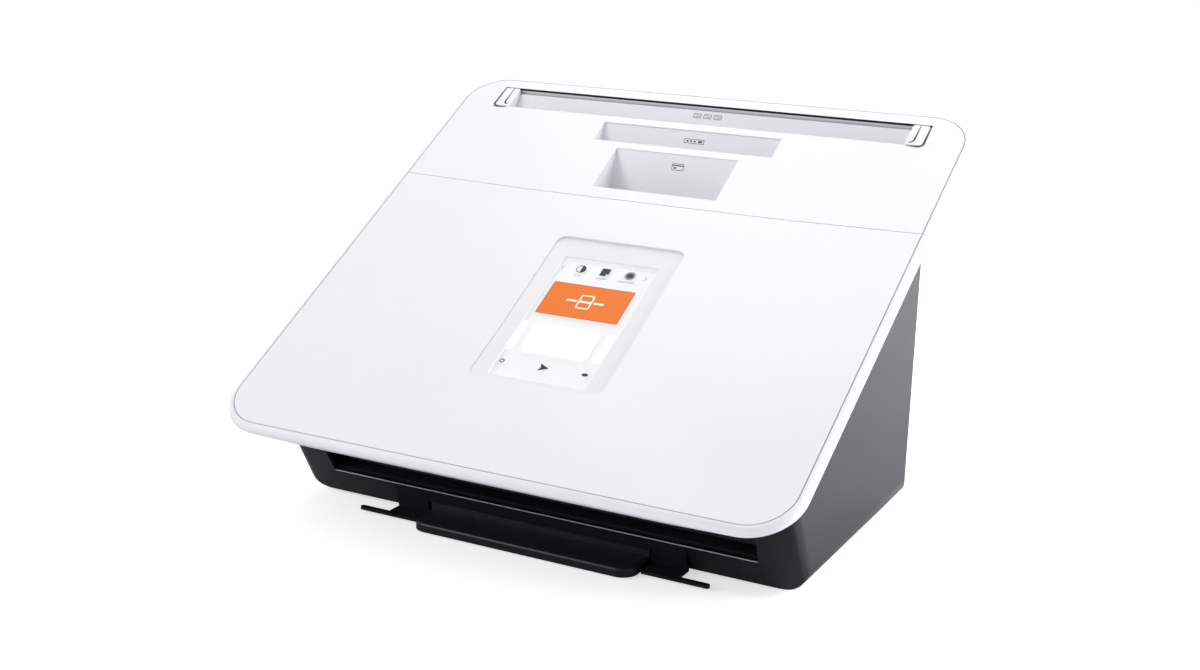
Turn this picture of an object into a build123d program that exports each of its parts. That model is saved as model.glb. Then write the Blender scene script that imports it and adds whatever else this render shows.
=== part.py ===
from build123d import *
import os
from math import ceil, cos, floor, hypot, pi, radians, sin, tan

os.makedirs("parts", exist_ok=True)

# All sizes are in millimetres. The panel's own directions are u across, v up its slope from the front
# edge, and n square to it, with its flat rim at n = 0. The world has X across, Y to the back, Z up,
# and its origin on the table under the middle of the scanner.

# Sloping top panel
panel_width = 279.0
panel_length = 267.0
panel_thickness = 8.0
panel_corner = 23.0
panel_edge_round = 3.0
rim_straight = 4.0
rim_taper = 2.2
rim_low_corner = 55.0
rim_low_round = 0.8
panel_skin = 2.2
panel_rim_wall = 2.4
panel_slope = 30.0
panel_front_height = 49.3
seam_gap = 0.5
groove_inset = 3.0
groove_width = 0.6
groove_depth = 0.5
dish_depth = 3.0
dish_centre = 119.8
dish_half_length = 126.6
liner_thickness = 1.6

# Screen in the cover
screen_centre = 103.3
bezel_width = 67.0
bezel_length = 96.5
bezel_corner = 5.0
bezel_recess = 1.0
bezel_depth = 6.4
bezel_flange = 3.5
window_centre = 98.6
window_width = 49.4
window_length = 81.0
window_corner = 1.5
glass_depth = 4.2
glass_thickness = 1.0
glass_margin = 1.8
display_board_thickness = 1.6
display_board_margin = 4.0

# Base housing
base_overhang = 11.0
base_front = 27.8
back_overhang = 40.7
base_wall = 2.2
base_corner = 7.0
base_side_round = 13.0
base_back_corner = 8.0
base_heel_round = 9.0
base_gap = 0.5
foot_height = 2.0
foot_radius = 7.0
foot_side_inset = 23.5
foot_front = 78.0
foot_from_back = 16.4
exit_inset = 0.5
exit_top = 28.0
exit_lean = 1.5

# Chassis plate above the output tray
chassis_height = 15.0
chassis_thickness = 2.2
rail_wall = 3.0
chassis_from_back = 14.4
screw_radius = 1.5
screw_head_radius = 3.0
screw_head_height = 1.2
screw_boss_radius = 4.5
screw_from_side = 31.5
screw_front = 92.0
screw_from_back = 26.4

# Output tray and its extension
tray_half_width = 74.0
tray_front = 44.6
tray_from_back = 20.4
tray_plate = 2.0
tray_wall = 2.5
tray_play = 0.4
strip_half_width = 89.0
strip_depth = 2.6
strip_low = 1.4
strip_thickness = 1.5
lip_half_width = 56.0
lip_reach = 7.6
lip_low = 0.9
lip_height = 4.3
lip_corner = 7.5
lip_round = 1.6
extension_plate = 2.2
extension_set_back = 10.0
extension_play = 0.3
extension_flange = 2.5
flange_thickness = 1.4

# Paper path and rollers
paper_path = -38.0
guide_step = 0.4
guide_thickness = 1.8
path_height = 1.5
drive_radius = 8.0
pinch_radius = 6.0
pick_radius = 13.0
pick_hub_radius = 7.0
pick_half_width = 17.0
nip_gap = 0.3
exit_at = 51.0
feed_from_pick = 35.0
pick_from_guide = 11.0
tyre_inner = 32.0
tyre_from_rib = 14.0
tyre_width = 14.0
window_play = 1.5
shaft_radius = 3.0
pinch_shaft_radius = 2.0
running_play = 0.05
bush_wall = 2.0
bush_lip = 1.5
bush_lip_thickness = 0.8

# Side frames
side_room = 13.3
frame_margin = 2.5
frame_thickness = 2.0
frame_front = 44.0
frame_past_seam = 3.7
frame_top = -20.0
frame_foot_width = 10.0
frame_foot_thickness = 1.8
hinge_v = 35.8
hinge_drop = 11.0
hinge_clearance = 0.4
hinge_pin_radius = 2.0
hinge_ear_radius = 5.0
strike_from_seam = 0.1
strike_level = -26.0
strike_radius = 1.5
strike_reach = 6.5

# Upper guide in the cover
guide_side_gap = 1.0
guide_wall = 2.0
guide_front = 40.0
guide_from_seam = 6.3
rib_inset = 12.0
cover_screw_inset = 16.0
cover_screw_front = 66.0
cover_screw_from_pick = 18.0
cover_boss_radius = 4.0
catch_gap = 0.5
catch_leaf = 0.8

# Scan modules
scan_inset = 2.0
scan_width = 18.0
scan_height = 13.5
scan_glass_inset = 1.7
scan_glass_width = 14.6
lower_scan_from_feed = 43.0
upper_scan_from_feed = 22.0
glass_proud = 0.7

# Separation pad
pad_half_width = 15.0
pad_before_pick, pad_past_pick = 9.0, 7.5
pad_thickness = 2.1
pad_pivot_from_pick = 14.0
pad_pivot_level = -31.0
pad_pin_radius = 1.5
pad_barrel_radius = 2.6
pad_holder_thickness = 1.8

# Paper sensor flag
flag_from_pick = 17.0
flag_level = -45.5
flag_u = 60.0
flag_tip_gap = 0.4
flag_pin_radius = 1.5
flag_half_width = 7.5
flag_ear = 2.0

# Gears, belt and motor
gear_module = 1.0
gear_gap = 1.5
gear_width = 5.0
motor_teeth = 12
reduction_teeth = 36
feed_teeth = 24
pick_idler_teeth = 16
pick_teeth = 40
reduction_angle = -132.0
motor_angle = -40.0
post_radius = 2.5
motor_radius = 17.5
motor_length = 38.0
motor_shaft_radius = 1.5
belt_thickness = 1.2
belt_width = 3.6
pulley_flange = 0.8
pulley_rim = 1.8

# Slots of the input tray, and the chutes that run down from their far edges to a level stretch
chute_plate = 1.6
chute_from_seam = 2.7
slot_bridge = 4.5
seam_bridge = 7.5
document_from_edge, document_opening = 9.6, 16.1
document_slope, document_level = 28.0, -39.5
receipt_opening, receipt_half = 14.5, 48.5
receipt_slope, receipt_level = 34.0, -32.0
card_opening, card_half = 30.0, 33.0
card_slope, card_level = 40.0, -26.0
slit_width = 2.2
document_lip = 2.0
slot_lip = 1.0
slot_play = 0.1

# Back shell of the input tray
belly_gap = 2.0
belly_wall = 1.8
belly_from_chute = 2.5
seat_gap = 0.3

# Paper guides and their pinion
guide_tab_width = 8.3
guide_tab_thickness = 1.6
guide_tab_gap = 0.6
guide_tab_corner = 1.2
guide_fence = 1.3
guide_fence_drop = 22.0
guide_fence_height = 5.5
guide_leg_half = 3.0
guide_leg_thickness = 1.4
guide_arm_thickness = 2.0
guide_play = 0.3
guide_pinion_teeth = 10
guide_pinion_from_slot = 16.4
guide_pinion_axle = 2.0
rack_low = -20.5
rack_height = 3.5
rack_back = 2.2
rack_overrun = 12.0

# Electronics
board_from_side, board_width = 20.5, 168.0
board_from_back, board_depth = 4.4, 68.0
board_thickness = 1.6
board_post_height = 4.0
board_post_radius = 3.0
board_post_inset = 12.0
chip_places = (((-20.0, 14.0), (24.0, 24.0), 1.4), ((18.0, 16.0), (16.0, 14.0), 1.2),
               ((-84.0, 10.0), (24.0, 10.0), 6.0), ((-52.0, 14.0), (12.0, 9.0), 1.2),
               ((44.0, 30.0), (9.0, 20.0), 5.0), ((-20.0, 44.0), (7.0, 5.0), 2.0))
switch_width, switch_depth, switch_rise = 8.0, 5.0, 3.0
jack_x, jack_width, jack_height, jack_depth = -62.0, 9.0, 11.0, 14.0
jack_bore, jack_pin = 2.75, 1.0
usb_x, usb_width, usb_height, usb_depth = -34.0, 12.0, 11.0, 16.0
usb_mouth_width, usb_mouth_height = 8.4, 7.8
card_x, card_reader_width, card_reader_height, card_reader_depth = 10.0, 28.0, 3.6, 26.0
card_mouth_width, card_mouth_height = 24.6, 2.2
socket_play = 0.6
button_from_board_end, button_height, button_radius = 12.0, 31.0, 5.0
button_proud, button_travel, button_flange = 0.8, 1.5, 1.2

# Values that follow from the sizes above
document_far = panel_length - document_from_edge
document_near = document_far - document_opening
receipt_far = document_near - slot_bridge
receipt_near = receipt_far - receipt_opening
card_far = receipt_near - slot_bridge
card_near = card_far - card_opening
seam_at = card_near - seam_bridge
chute_front = seam_at + chute_from_seam
belly_front = chute_front + belly_from_chute
strike_at = seam_at - strike_from_seam
guide_rear = seam_at - guide_from_seam
frame_rear = seam_at + frame_past_seam
pick_at = guide_rear - pick_from_guide
feed_at = pick_at - feed_from_pick
pad_front, pad_rear = pick_at - pad_before_pick, pick_at + pad_past_pick
pad_pivot_v = pick_at - pad_pivot_from_pick
flag_v = pick_at - flag_from_pick
cover_screw_back = pick_at - cover_screw_from_pick
lower_scan_at = feed_at - lower_scan_from_feed
upper_scan_at = feed_at - upper_scan_from_feed
base_half = panel_width / 2 - base_overhang
frame_outer = base_half - base_wall - side_room
frame_inner = frame_outer - frame_thickness
paper_half_width = frame_inner - frame_margin
exit_half_width = paper_half_width - exit_inset
scan_half_width = paper_half_width - scan_inset
scan_glass_half = scan_half_width - scan_glass_inset
guide_half_width = frame_inner - guide_side_gap
rib_at = guide_half_width - rib_inset
cover_screw_u = guide_half_width - cover_screw_inset
tyre_outer = rib_at - tyre_from_rib
screw_x = base_half - screw_from_side
board_left = board_from_side - base_half
board_right = board_left + board_width
button_x = board_left + button_from_board_end
guide_tab_outer = paper_half_width + guide_tab_width
guide_pinion_v = document_far - guide_pinion_from_slot
slope_cos, slope_sin = cos(radians(panel_slope)), sin(radians(panel_slope))
document_tan, document_cos = tan(radians(document_slope)), cos(radians(document_slope))
front_reach = panel_edge_round * (slope_cos + slope_sin) - panel_edge_round
back_reach = (panel_length - rim_taper) * slope_cos + panel_thickness * slope_sin
base_back = panel_length * slope_cos - back_overhang
foot_back = base_back - foot_from_back
chassis_back = base_back - chassis_from_back
screw_back = base_back - screw_from_back
tray_back = base_back - tray_from_back
extension_back = tray_back - extension_set_back
board_back = base_back - board_from_back
board_front = board_back - board_depth
deck_y = -(front_reach + back_reach) / 2
deck = Plane(origin=(0, deck_y, panel_front_height), x_dir=(1, 0, 0),
             z_dir=(0, -slope_sin, slope_cos))
base_back_y = deck_y + base_back
base_top = -(panel_thickness + base_gap)
floor_top = foot_height + base_wall
chassis_top = chassis_height + chassis_thickness
hinge_n = -panel_thickness - hinge_drop
lower_guide_top = paper_path - guide_step
lower_guide_bottom = lower_guide_top - guide_thickness
upper_guide_bottom = paper_path + path_height
upper_guide_floor = upper_guide_bottom + guide_wall
drive_n = paper_path - drive_radius
pick_n = paper_path - pick_radius
pinch_n = paper_path + nip_gap + pinch_radius
gear_inner = frame_outer + gear_gap
gear_outer = gear_inner + gear_width
shaft_end = gear_outer + running_play * 10
tyre_places = (-tyre_outer, -tyre_inner, tyre_inner, tyre_outer)
tray_top = chassis_height - tray_play - 0.2
belly_half = paper_half_width + guide_fence + tray_play + belly_wall
board_low = chassis_top + board_post_height
board_top = board_low + board_thickness
pinion_radius = gear_module * guide_pinion_teeth / 2
tooth_root, tooth_tip = 1.15 * gear_module, 0.85 * gear_module
rack_reach = pinion_radius + tooth_root + rack_back
rack_room_near = guide_pinion_v - rack_reach - guide_play - 2 * belly_wall
rack_floor = rack_low - guide_play
arm_middle = guide_tab_outer - 0.8 - guide_leg_half
arm_outer = arm_middle + guide_leg_half
rack_room_half = arm_outer + guide_play + belly_wall
reach = 2 * panel_length


# Helpers for plain solids and for places on the panel

def block(x0, x1, y0, y1, z0, z1):
    """Box between two opposite corners."""
    middle = Pos((x0 + x1) / 2, (y0 + y1) / 2, (z0 + z1) / 2)
    return middle * Box(abs(x1 - x0), abs(y1 - y0), abs(z1 - z0))


def rounded_block(x0, x1, y0, y1, z0, z1, radius):
    """Box whose four edges along Z are rounded."""
    plan = Pos((x0 + x1) / 2, (y0 + y1) / 2, z0) * RectangleRounded(x1 - x0, y1 - y0, radius)
    return extrude(plan, amount=z1 - z0, dir=(0, 0, 1))


def rod(x0, x1, y, z, radius):
    """Round bar along X."""
    return Pos((x0 + x1) / 2, y, z) * Rot(0, 90, 0) * Cylinder(radius, abs(x1 - x0))


def tube(x0, x1, y, z, outer, inner):
    """Round bar along X with a bore."""
    return rod(x0, x1, y, z, outer) - rod(x0 - 1, x1 + 1, y, z, inner)


def post(x, y, z0, z1, radius):
    """Round bar along Z."""
    return Pos(x, y, (z0 + z1) / 2) * Cylinder(radius, z1 - z0)


def bar_y(x, y0, y1, z, radius):
    """Round bar along Y."""
    return Pos(x, (y0 + y1) / 2, z) * Rot(90, 0, 0) * Cylinder(radius, y1 - y0)


def prism_x(points, x0, x1):
    """Outline in the second and third directions, drawn out along the first."""
    outline = Polyline(*[(x0, p, q) for p, q in points], close=True)
    return extrude(make_face(outline), amount=x1 - x0, dir=(1, 0, 0))


def prism_y(points, y0, y1):
    """Outline in the first and third directions, drawn out along the second."""
    outline = Polyline(*[(p, y0, q) for p, q in points], close=True)
    return extrude(make_face(outline), amount=y1 - y0, dir=(0, 1, 0))


def group(solids):
    """Several separate solids kept as one piece."""
    return Compound(children=list(solids))


def mirrored(shape):
    """Copy on the other side of the middle plane."""
    return mirror(shape, Plane.YZ)


def on_deck(shape):
    """Move a solid from the panel's directions to the world."""
    return deck.location * shape


def n_at_height(v, z):
    """Place square to the panel where the line at v has the height z."""
    return (z - panel_front_height - v * slope_sin) / slope_cos


def depth_at_height(v, z):
    """World depth where the line at v has the height z."""
    return deck_y + v * slope_cos - n_at_height(v, z) * slope_sin


def third_corner(a, b, from_a, from_b):
    """Lower corner of a triangle on the side a to b, from its other two sides."""
    across, along = b[0] - a[0], b[1] - a[1]
    side = hypot(across, along)
    foot = (from_a ** 2 - from_b ** 2 + side ** 2) / (2 * side)
    drop = (from_a ** 2 - foot ** 2) ** 0.5
    ex, ey = across / side, along / side
    return (a[0] + foot * ex + drop * ey, a[1] + foot * ey - drop * ex)


def beyond(a, distance, angle):
    """Place at a distance and angle from another."""
    return (a[0] + distance * cos(radians(angle)), a[1] + distance * sin(radians(angle)))


# Panel pieces

def panel_outline(inset, n0, n1):
    """Plate of the panel's outline, drawn in by inset."""
    half = panel_width / 2 - inset
    return rounded_block(-half, half, inset, panel_length - inset, n0, n1, panel_corner - inset)


def panel_plan(inset, n, front_radius, back_radius):
    """Flat outline of the panel drawn in by inset, with radii for its front and back corners."""
    plan = Rectangle(panel_width - 2 * inset, panel_length - 2 * inset)
    plan = fillet(plan.vertices().group_by(Axis.Y)[0], front_radius)
    plan = fillet(plan.vertices().group_by(Axis.Y)[-1], back_radius)
    return Pos(0, panel_length / 2, n) * plan


def low_plan(inset, n):
    """Outline of the rim's lower edge, which draws in, and most at the front corners."""
    drawn = inset + rim_taper
    return panel_plan(drawn, n, rim_low_corner - inset, panel_corner - drawn)


def panel_body(inset, n0, n1):
    """Body of the panel from n0 up to n1, upright above and tapered below, drawn in by inset."""
    radius = panel_corner - inset
    upper = extrude(panel_plan(inset, -rim_straight, radius, radius), amount=n1 + rim_straight)
    lower = loft([low_plan(inset, -panel_thickness), panel_plan(inset, -rim_straight, radius, radius)])
    if n0 < -panel_thickness:
        lower += extrude(low_plan(inset, n0), amount=-panel_thickness - n0)
    return upper + lower


def dish(shift):
    """Space above the shallow four-sided dish, lowered by shift."""
    low = -dish_depth - shift
    rise_u = dish_depth / (panel_width / 2 - groove_inset - groove_width / 2)
    rise_v = dish_depth / dish_half_length
    high_u, high_v = low + rise_u * reach, low + rise_v * reach
    top = max(high_u, high_v) + 1
    across = prism_y([(0, low), (reach, high_u), (reach, top), (-reach, top), (-reach, high_u)],
                     -reach, reach)
    along = prism_x([(dish_centre, low), (dish_centre + reach, high_v), (dish_centre + reach, top),
                     (dish_centre - reach, top), (dish_centre - reach, high_v)], -reach, reach)
    return across & along


def panel_section(v0, v1, wall0, wall1):
    """Hollow length of the panel with its rim, its dish and its end walls."""
    span = panel_width
    outer = panel_body(0, -panel_thickness, 0)
    outer = fillet(outer.faces().sort_by(Axis.Z)[-1].edges(), panel_edge_round)
    outer = fillet(outer.faces().sort_by(Axis.Z)[0].edges(), rim_low_round)
    outer = (outer & block(-span, span, v0, v1, -panel_thickness - 1, 1)) - dish(0)
    core = panel_body(panel_rim_wall, -panel_thickness - 1, -panel_skin)
    core = (core & block(-span, span, v0 + wall0, v1 - wall1, -panel_thickness - 2, 1))
    groove = (panel_outline(groove_inset, -groove_depth, 1)
              - panel_outline(groove_inset + groove_width, -groove_depth - 1, 2))
    return outer - (core - dish(panel_skin)) - groove


def screen_block(centre, width, length, margin, n0, n1, radius):
    """Rounded block of the screen's outline, made larger by margin."""
    half, run = width / 2 + margin, length / 2 + margin
    return rounded_block(-half, half, centre - run, centre + run, n0, n1, radius + max(margin, 0))


def cover_shell():
    shell = panel_section(-1, seam_at - seam_gap / 2, 0, panel_skin)
    return shell - screen_block(screen_centre, bezel_width, bezel_length, 0,
                                -panel_thickness, 1, bezel_corner)


def cover_liner():
    """Plate that closes the cover from below, open under the screen."""
    edge = seam_at - seam_gap / 2 - panel_skin - slot_play
    plate = extrude(low_plan(panel_rim_wall + slot_play, -panel_thickness), amount=liner_thickness)
    plate = plate & block(-panel_width, panel_width, 0, edge, -reach, reach)
    plate -= screen_block(screen_centre, bezel_width, bezel_length, bezel_flange + slot_play * 3,
                          -panel_thickness - 1, 0, bezel_corner)
    for u, v in cover_screw_places():
        plate -= post(u, v, -panel_thickness - 1, 0, screw_radius)
    return plate


def display_bezel():
    """Recessed surround of the screen with a flange under the cover's skin."""
    face = screen_block(screen_centre, bezel_width, bezel_length, -slot_play, -bezel_depth, 0,
                        bezel_corner) - dish(bezel_recess)
    flange = screen_block(screen_centre, bezel_width, bezel_length, bezel_flange, -bezel_depth,
                          -panel_skin - slot_play, bezel_corner) - dish(panel_skin + slot_play)
    window = screen_block(window_centre, window_width, window_length, 0, -bezel_depth - 1, 1,
                          window_corner)
    pocket = screen_block(window_centre, window_width, window_length, glass_margin,
                          -bezel_depth - 1, -glass_depth, window_corner)
    return face + flange - window - pocket


def touch_glass():
    return screen_block(window_centre, window_width, window_length, glass_margin,
                        -glass_depth - glass_thickness, -glass_depth, window_corner)


def display_panel():
    return screen_block(window_centre, window_width, window_length, glass_margin - slot_play,
                        -panel_thickness, -glass_depth - glass_thickness, window_corner)


def display_board():
    return screen_block(window_centre, window_width, window_length, display_board_margin,
                        -panel_thickness - display_board_thickness, -panel_thickness, window_corner)


# Base housing, chassis and side frames

def wedge(inset):
    """Solid of the base, drawn in on every side by inset."""
    half = base_half - inset
    lean = on_deck(rounded_block(-half, half, base_front + inset, base_front + inset + reach,
                                 -reach, base_top, base_corner - inset))
    back = base_back_y - inset
    heel = rounded_block(back - reach, back, foot_height + inset, foot_height + inset + reach,
                         -half - 1, half + 1, base_heel_round - inset)
    plan = rounded_block(-half, half, back - reach, back, 0, reach, base_back_corner - inset)
    sides = rounded_block(-half, half, foot_height + inset, foot_height + inset + reach,
                          -reach, reach, base_side_round - inset)
    return lean & (Plane.YZ.location * heel) & plan & (Plane.XZ.location * sides)


def hinge_relief():
    """Space in front of and over the hinge that the turning cover and its two lugs sweep."""
    relief = block(-reach, reach, -reach, hinge_v, hinge_n, 0)
    relief -= rod(-reach, reach, hinge_v, hinge_n, hinge_drop - hinge_clearance)
    for side in (-1, 1):
        relief += block(side * (guide_half_width - guide_wall - hinge_clearance),
                        side * (guide_half_width + hinge_clearance), -reach, hinge_v, hinge_n, 0)
    return on_deck(relief)


def screw_places():
    return [(x, deck_y + y) for x in (-screw_x, screw_x) for y in (screw_front, screw_back)]


def inner_front():
    """World depth of the front wall's inner face at the floor."""
    return depth_at_height(base_front + base_wall, floor_top)


def base_housing():
    housing = wedge(0) - wedge(base_wall) - hinge_relief()
    sill = n_at_height(base_front, chassis_height)
    low_half, top_half = exit_half_width, exit_half_width + exit_lean
    mouth = prism_y([(-top_half, -exit_top), (-low_half, sill), (-low_half, -reach),
                     (low_half, -reach), (low_half, sill), (top_half, -exit_top)],
                    base_front - base_wall, base_front + 2 * base_wall)
    housing -= on_deck(mouth) & block(-reach, reach, -reach, reach, chassis_height, reach)
    rail_half = tray_half_width + tray_play
    housing -= block(-rail_half, rail_half, deck_y, inner_front() + 1, floor_top, chassis_height)
    notch = belly_outline(belly_gap + belly_wall + seat_gap, reach, belly_front - seat_gap)
    housing -= on_deck(prism_x(notch, -belly_half - seat_gap, belly_half + seat_gap))
    for x, y in screw_places():
        housing -= post(x, y, 0, floor_top + 1, screw_radius + 0.2)
        housing -= post(x, y, 0, foot_height + screw_head_height + 0.2, screw_head_radius + 0.2)
    wall0, wall1 = base_back_y - base_wall - 1, base_back_y + 1
    housing -= bar_y(jack_x, wall0, wall1, board_top + jack_height / 2, jack_width / 2)
    housing -= block(usb_x - usb_width / 2, usb_x + usb_width / 2, wall0, wall1,
                     board_top, board_top + usb_height)
    housing -= block(card_x - card_mouth_width / 2 - socket_play,
                     card_x + card_mouth_width / 2 + socket_play, wall0, wall1,
                     board_top, board_top + card_reader_height)
    housing -= bar_y(button_x, wall0, wall1, button_height, button_radius + 0.3)
    return housing


def rubber_feet():
    half = base_half - foot_side_inset
    return group(post(x, deck_y + y, 0, foot_height, foot_radius)
                 for x in (-half, half) for y in (foot_front, foot_back))


def base_screws():
    screws = []
    for x, y in screw_places():
        head_low = foot_height + 0.2
        head_top = head_low + screw_head_height
        screws.append(post(x, y, head_low, head_top, screw_head_radius)
                      + post(x, y, head_top, chassis_height - 1, screw_radius))
    return group(screws)


def chassis_plate():
    """Inner floor over the output tray, with the tray's rails and the screw bosses."""
    room = wedge(base_wall + 0.2)
    plate = room & block(-reach, reach, -reach, reach, chassis_height, chassis_top)
    rail = tray_half_width + tray_play
    for side in (-1, 1):
        plate += block(side * rail, side * (rail + rail_wall), inner_front() + 0.5,
                       deck_y + chassis_back, floor_top, chassis_height)
    plate += block(-rail, rail, deck_y + tray_back + 1, deck_y + chassis_back,
                   floor_top, chassis_height)
    for x, y in screw_places():
        plate += post(x, y, floor_top, chassis_height, screw_boss_radius)
        plate -= post(x, y, floor_top - 1, chassis_height - 1, screw_radius)
    for x, y in board_post_places():
        plate += post(x, y, chassis_top, board_low, board_post_radius)
    return plate


def bearing_places():
    """Roller axes with the side each one is bushed on."""
    return [(exit_at, drive_n), (feed_at, drive_n), (pick_at, pick_n)]


def side_frame():
    """Right side plate between the paper path and the gears."""
    plate = block(frame_inner, frame_outer, frame_front, frame_rear, -reach, frame_top)
    plate += rod(frame_inner, frame_outer, hinge_v, hinge_n, hinge_ear_radius)
    plate += block(frame_inner, frame_outer, hinge_v, frame_front + 1,
                   drive_n, hinge_n + hinge_ear_radius)
    plate = on_deck(plate) & wedge(base_wall + 0.5)
    plate = plate & block(-reach, reach, -reach, reach, chassis_top, reach)
    foot = block(frame_inner - frame_foot_width, frame_inner, deck_y + foot_front,
                 deck_y + screw_back, chassis_top, chassis_top + frame_foot_thickness)
    plate += foot
    strike = rod(frame_inner - strike_reach, frame_inner + 1, strike_at, strike_level, strike_radius)
    plate += on_deck(strike)
    for v, n in bearing_places():
        plate -= on_deck(rod(frame_inner - 1, frame_outer + 1, v, n, bush_radius()))
    plate -= on_deck(rod(frame_inner - 1, frame_outer + 1, hinge_v, hinge_n, hinge_pin_radius))
    return plate


def bush_radius():
    return shaft_radius + running_play + bush_wall


def side_frame_right():
    frame = side_frame()
    motor_v, motor_n = motor_place()
    frame -= on_deck(rod(frame_inner - 1, frame_outer + 1, motor_v, motor_n, 2 * motor_shaft_radius))
    for v, n in (reduction_place(), pick_idler_place()):
        frame += on_deck(rod(frame_outer - frame_thickness / 2, gear_outer + 0.5, v, n, post_radius))
    return frame


def side_frame_left():
    return mirrored(side_frame())


def roller_bushes():
    bushes = []
    for v, n in bearing_places():
        bush = (rod(frame_inner, frame_outer, v, n, bush_radius())
                + rod(frame_outer, frame_outer + bush_lip_thickness, v, n, bush_radius() + bush_lip))
        bush -= rod(frame_inner - 1, gear_inner, v, n, shaft_radius + running_play)
        bushes += [bush, mirrored(bush)]
    return group(bushes)


def hinge_pins():
    pin = (rod(guide_half_width - guide_wall - 0.6, frame_outer, hinge_v, hinge_n, hinge_pin_radius)
           + rod(frame_outer, frame_outer + 1.2, hinge_v, hinge_n, hinge_pin_radius + 1.5))
    return group([pin, mirrored(pin)])


# Paper path in the base

def lower_guide():
    """Lower paper guide with openings for tyres, glass and flag, and an apron at the exit."""
    lead = 6.0
    sheet = [(guide_front - 4, lower_guide_top), (guide_rear - 2, lower_guide_top),
             (guide_rear - 2 + lead, lower_guide_top - lead / 2),
             (guide_rear - 2 + lead, lower_guide_bottom - lead / 2),
             (guide_rear - 2, lower_guide_bottom), (guide_front - 4, lower_guide_bottom)]
    guide = prism_x(sheet, -frame_inner, frame_inner)
    for side in (-1, 1):
        guide += block(side * (frame_inner - guide_thickness), side * frame_inner,
                       exit_at + drive_radius, feed_at - drive_radius,
                       lower_guide_bottom - drive_radius, lower_guide_bottom)
    apron_v = guide_front - guide_thickness
    apron_low = n_at_height(apron_v, chassis_top + seat_gap)
    guide += block(-exit_half_width, exit_half_width, apron_v, guide_front,
                   apron_low, lower_guide_bottom)
    for at in (exit_at, feed_at):
        half = (drive_radius ** 2 - (drive_n - lower_guide_bottom) ** 2) ** 0.5 + window_play
        for u in tyre_places:
            guide -= block(u - tyre_width / 2 - window_play, u + tyre_width / 2 + window_play,
                           at - half, at + half, lower_guide_bottom - 1, 0)
    half = (pick_radius ** 2 - (pick_n - lower_guide_bottom) ** 2) ** 0.5 + window_play
    guide -= block(-pick_half_width - window_play, pick_half_width + window_play,
                   pick_at - half, pick_at + half, lower_guide_bottom - 1, 0)
    guide -= block(-scan_glass_half - slot_play, scan_glass_half + slot_play,
                   lower_scan_at - scan_glass_width / 2 - slot_play,
                   lower_scan_at + scan_glass_width / 2 + slot_play, lower_guide_bottom - 1, 0)
    guide -= block(flag_u - flag_ear - 0.5, flag_u + flag_ear + 0.5, flag_v - 12, flag_v + 3,
                   lower_guide_bottom - 1, 0)
    for side in (-1, 1):
        near = flag_u + side * (flag_half_width + 0.5)
        guide += block(near, near + side * flag_ear, flag_v - 3.5, flag_v + 3.5,
                       flag_level - 3.5, lower_guide_bottom)
    guide -= rod(flag_u - 3 * flag_half_width, flag_u + 3 * flag_half_width, flag_v, flag_level,
                 flag_pin_radius + running_play)
    return guide


def paper_sensor_flag():
    half = flag_half_width + 0.5 + flag_ear
    flag = rod(flag_u - half, flag_u + half, flag_v, flag_level, flag_pin_radius)
    flag += rod(flag_u - flag_half_width, flag_u + flag_half_width, flag_v, flag_level,
                flag_pin_radius + 0.8)
    tip = upper_guide_bottom - flag_tip_gap
    return flag + block(flag_u - flag_ear / 2, flag_u + flag_ear / 2, flag_v - 0.8, flag_v + 0.8,
                        flag_level, tip)


def scan_module(at, n0, n1):
    bar = block(-scan_half_width, scan_half_width, at - scan_width / 2, at + scan_width / 2, n0, n1)
    return chamfer(bar.edges().filter_by(Axis.X), 0.8)


def scan_glass(at, n0, n1):
    return block(-scan_glass_half, scan_glass_half, at - scan_glass_width / 2,
                 at + scan_glass_width / 2, n0, n1)


def roller_shaft(at, n, left, right):
    return rod(-left, right, at, n, shaft_radius)


def drive_tyres(at):
    return group(tube(u - tyre_width / 2, u + tyre_width / 2, at, drive_n, drive_radius, shaft_radius)
                 for u in tyre_places)


def pulley(at):
    """Belt pulley on the left end of a roller shaft."""
    inner, outer = gear_inner - gear_gap + bush_lip_thickness + 0.2, gear_outer
    wheel = rod(-outer, -inner, at, drive_n, drive_radius)
    for end in (-outer, -inner - pulley_flange):
        wheel += rod(end, end + pulley_flange, at, drive_n, drive_radius + pulley_rim)
    return wheel - rod(-outer - 1, -inner + 1, at, drive_n, shaft_radius)


def belt_loop(radius):
    """Solid of the belt's run at a radius about both pulleys."""
    middle = (gear_inner - gear_gap + bush_lip_thickness + 0.2 + gear_outer) / 2
    x0, x1 = -middle - belt_width / 2, -middle + belt_width / 2
    run = block(x0, x1, exit_at, feed_at, drive_n - radius, drive_n + radius)
    return run + rod(x0, x1, exit_at, drive_n, radius) + rod(x0, x1, feed_at, drive_n, radius)


def drive_belt():
    inner = drive_radius + nip_gap
    return belt_loop(inner + belt_thickness) - belt_loop(inner)


# Gears

def spur(teeth, width, bore, phase):
    """Gear along Z from zero, with a tooth at the phase angle and generous backlash."""
    pitch = gear_module * teeth / 2
    root, tip = pitch - tooth_root, pitch + tooth_tip
    step = 360 / teeth
    points = []
    for tooth in range(teeth):
        for radius, share in ((root, -0.3), (tip, -0.11), (tip, 0.11), (root, 0.3)):
            angle = phase + (tooth + share) * step
            points.append((radius * cos(radians(angle)), radius * sin(radians(angle)), 0))
    wheel = extrude(make_face(Polyline(*points, close=True)), amount=width, dir=(0, 0, 1))
    return wheel - Pos(0, 0, width / 2) * Cylinder(bore, width + 2)


def drive_gear(teeth, place, bore, phase):
    """Gear of the drive train, beside the right side frame."""
    wheel = Plane.YZ.location * spur(teeth, gear_width, bore, phase)
    return Pos(gear_inner, place[0], place[1]) * wheel


def centre_distance(teeth_a, teeth_b):
    return gear_module * (teeth_a + teeth_b) / 2


def feed_place():
    return (feed_at, drive_n)


def pick_place():
    return (pick_at, pick_n)


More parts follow.
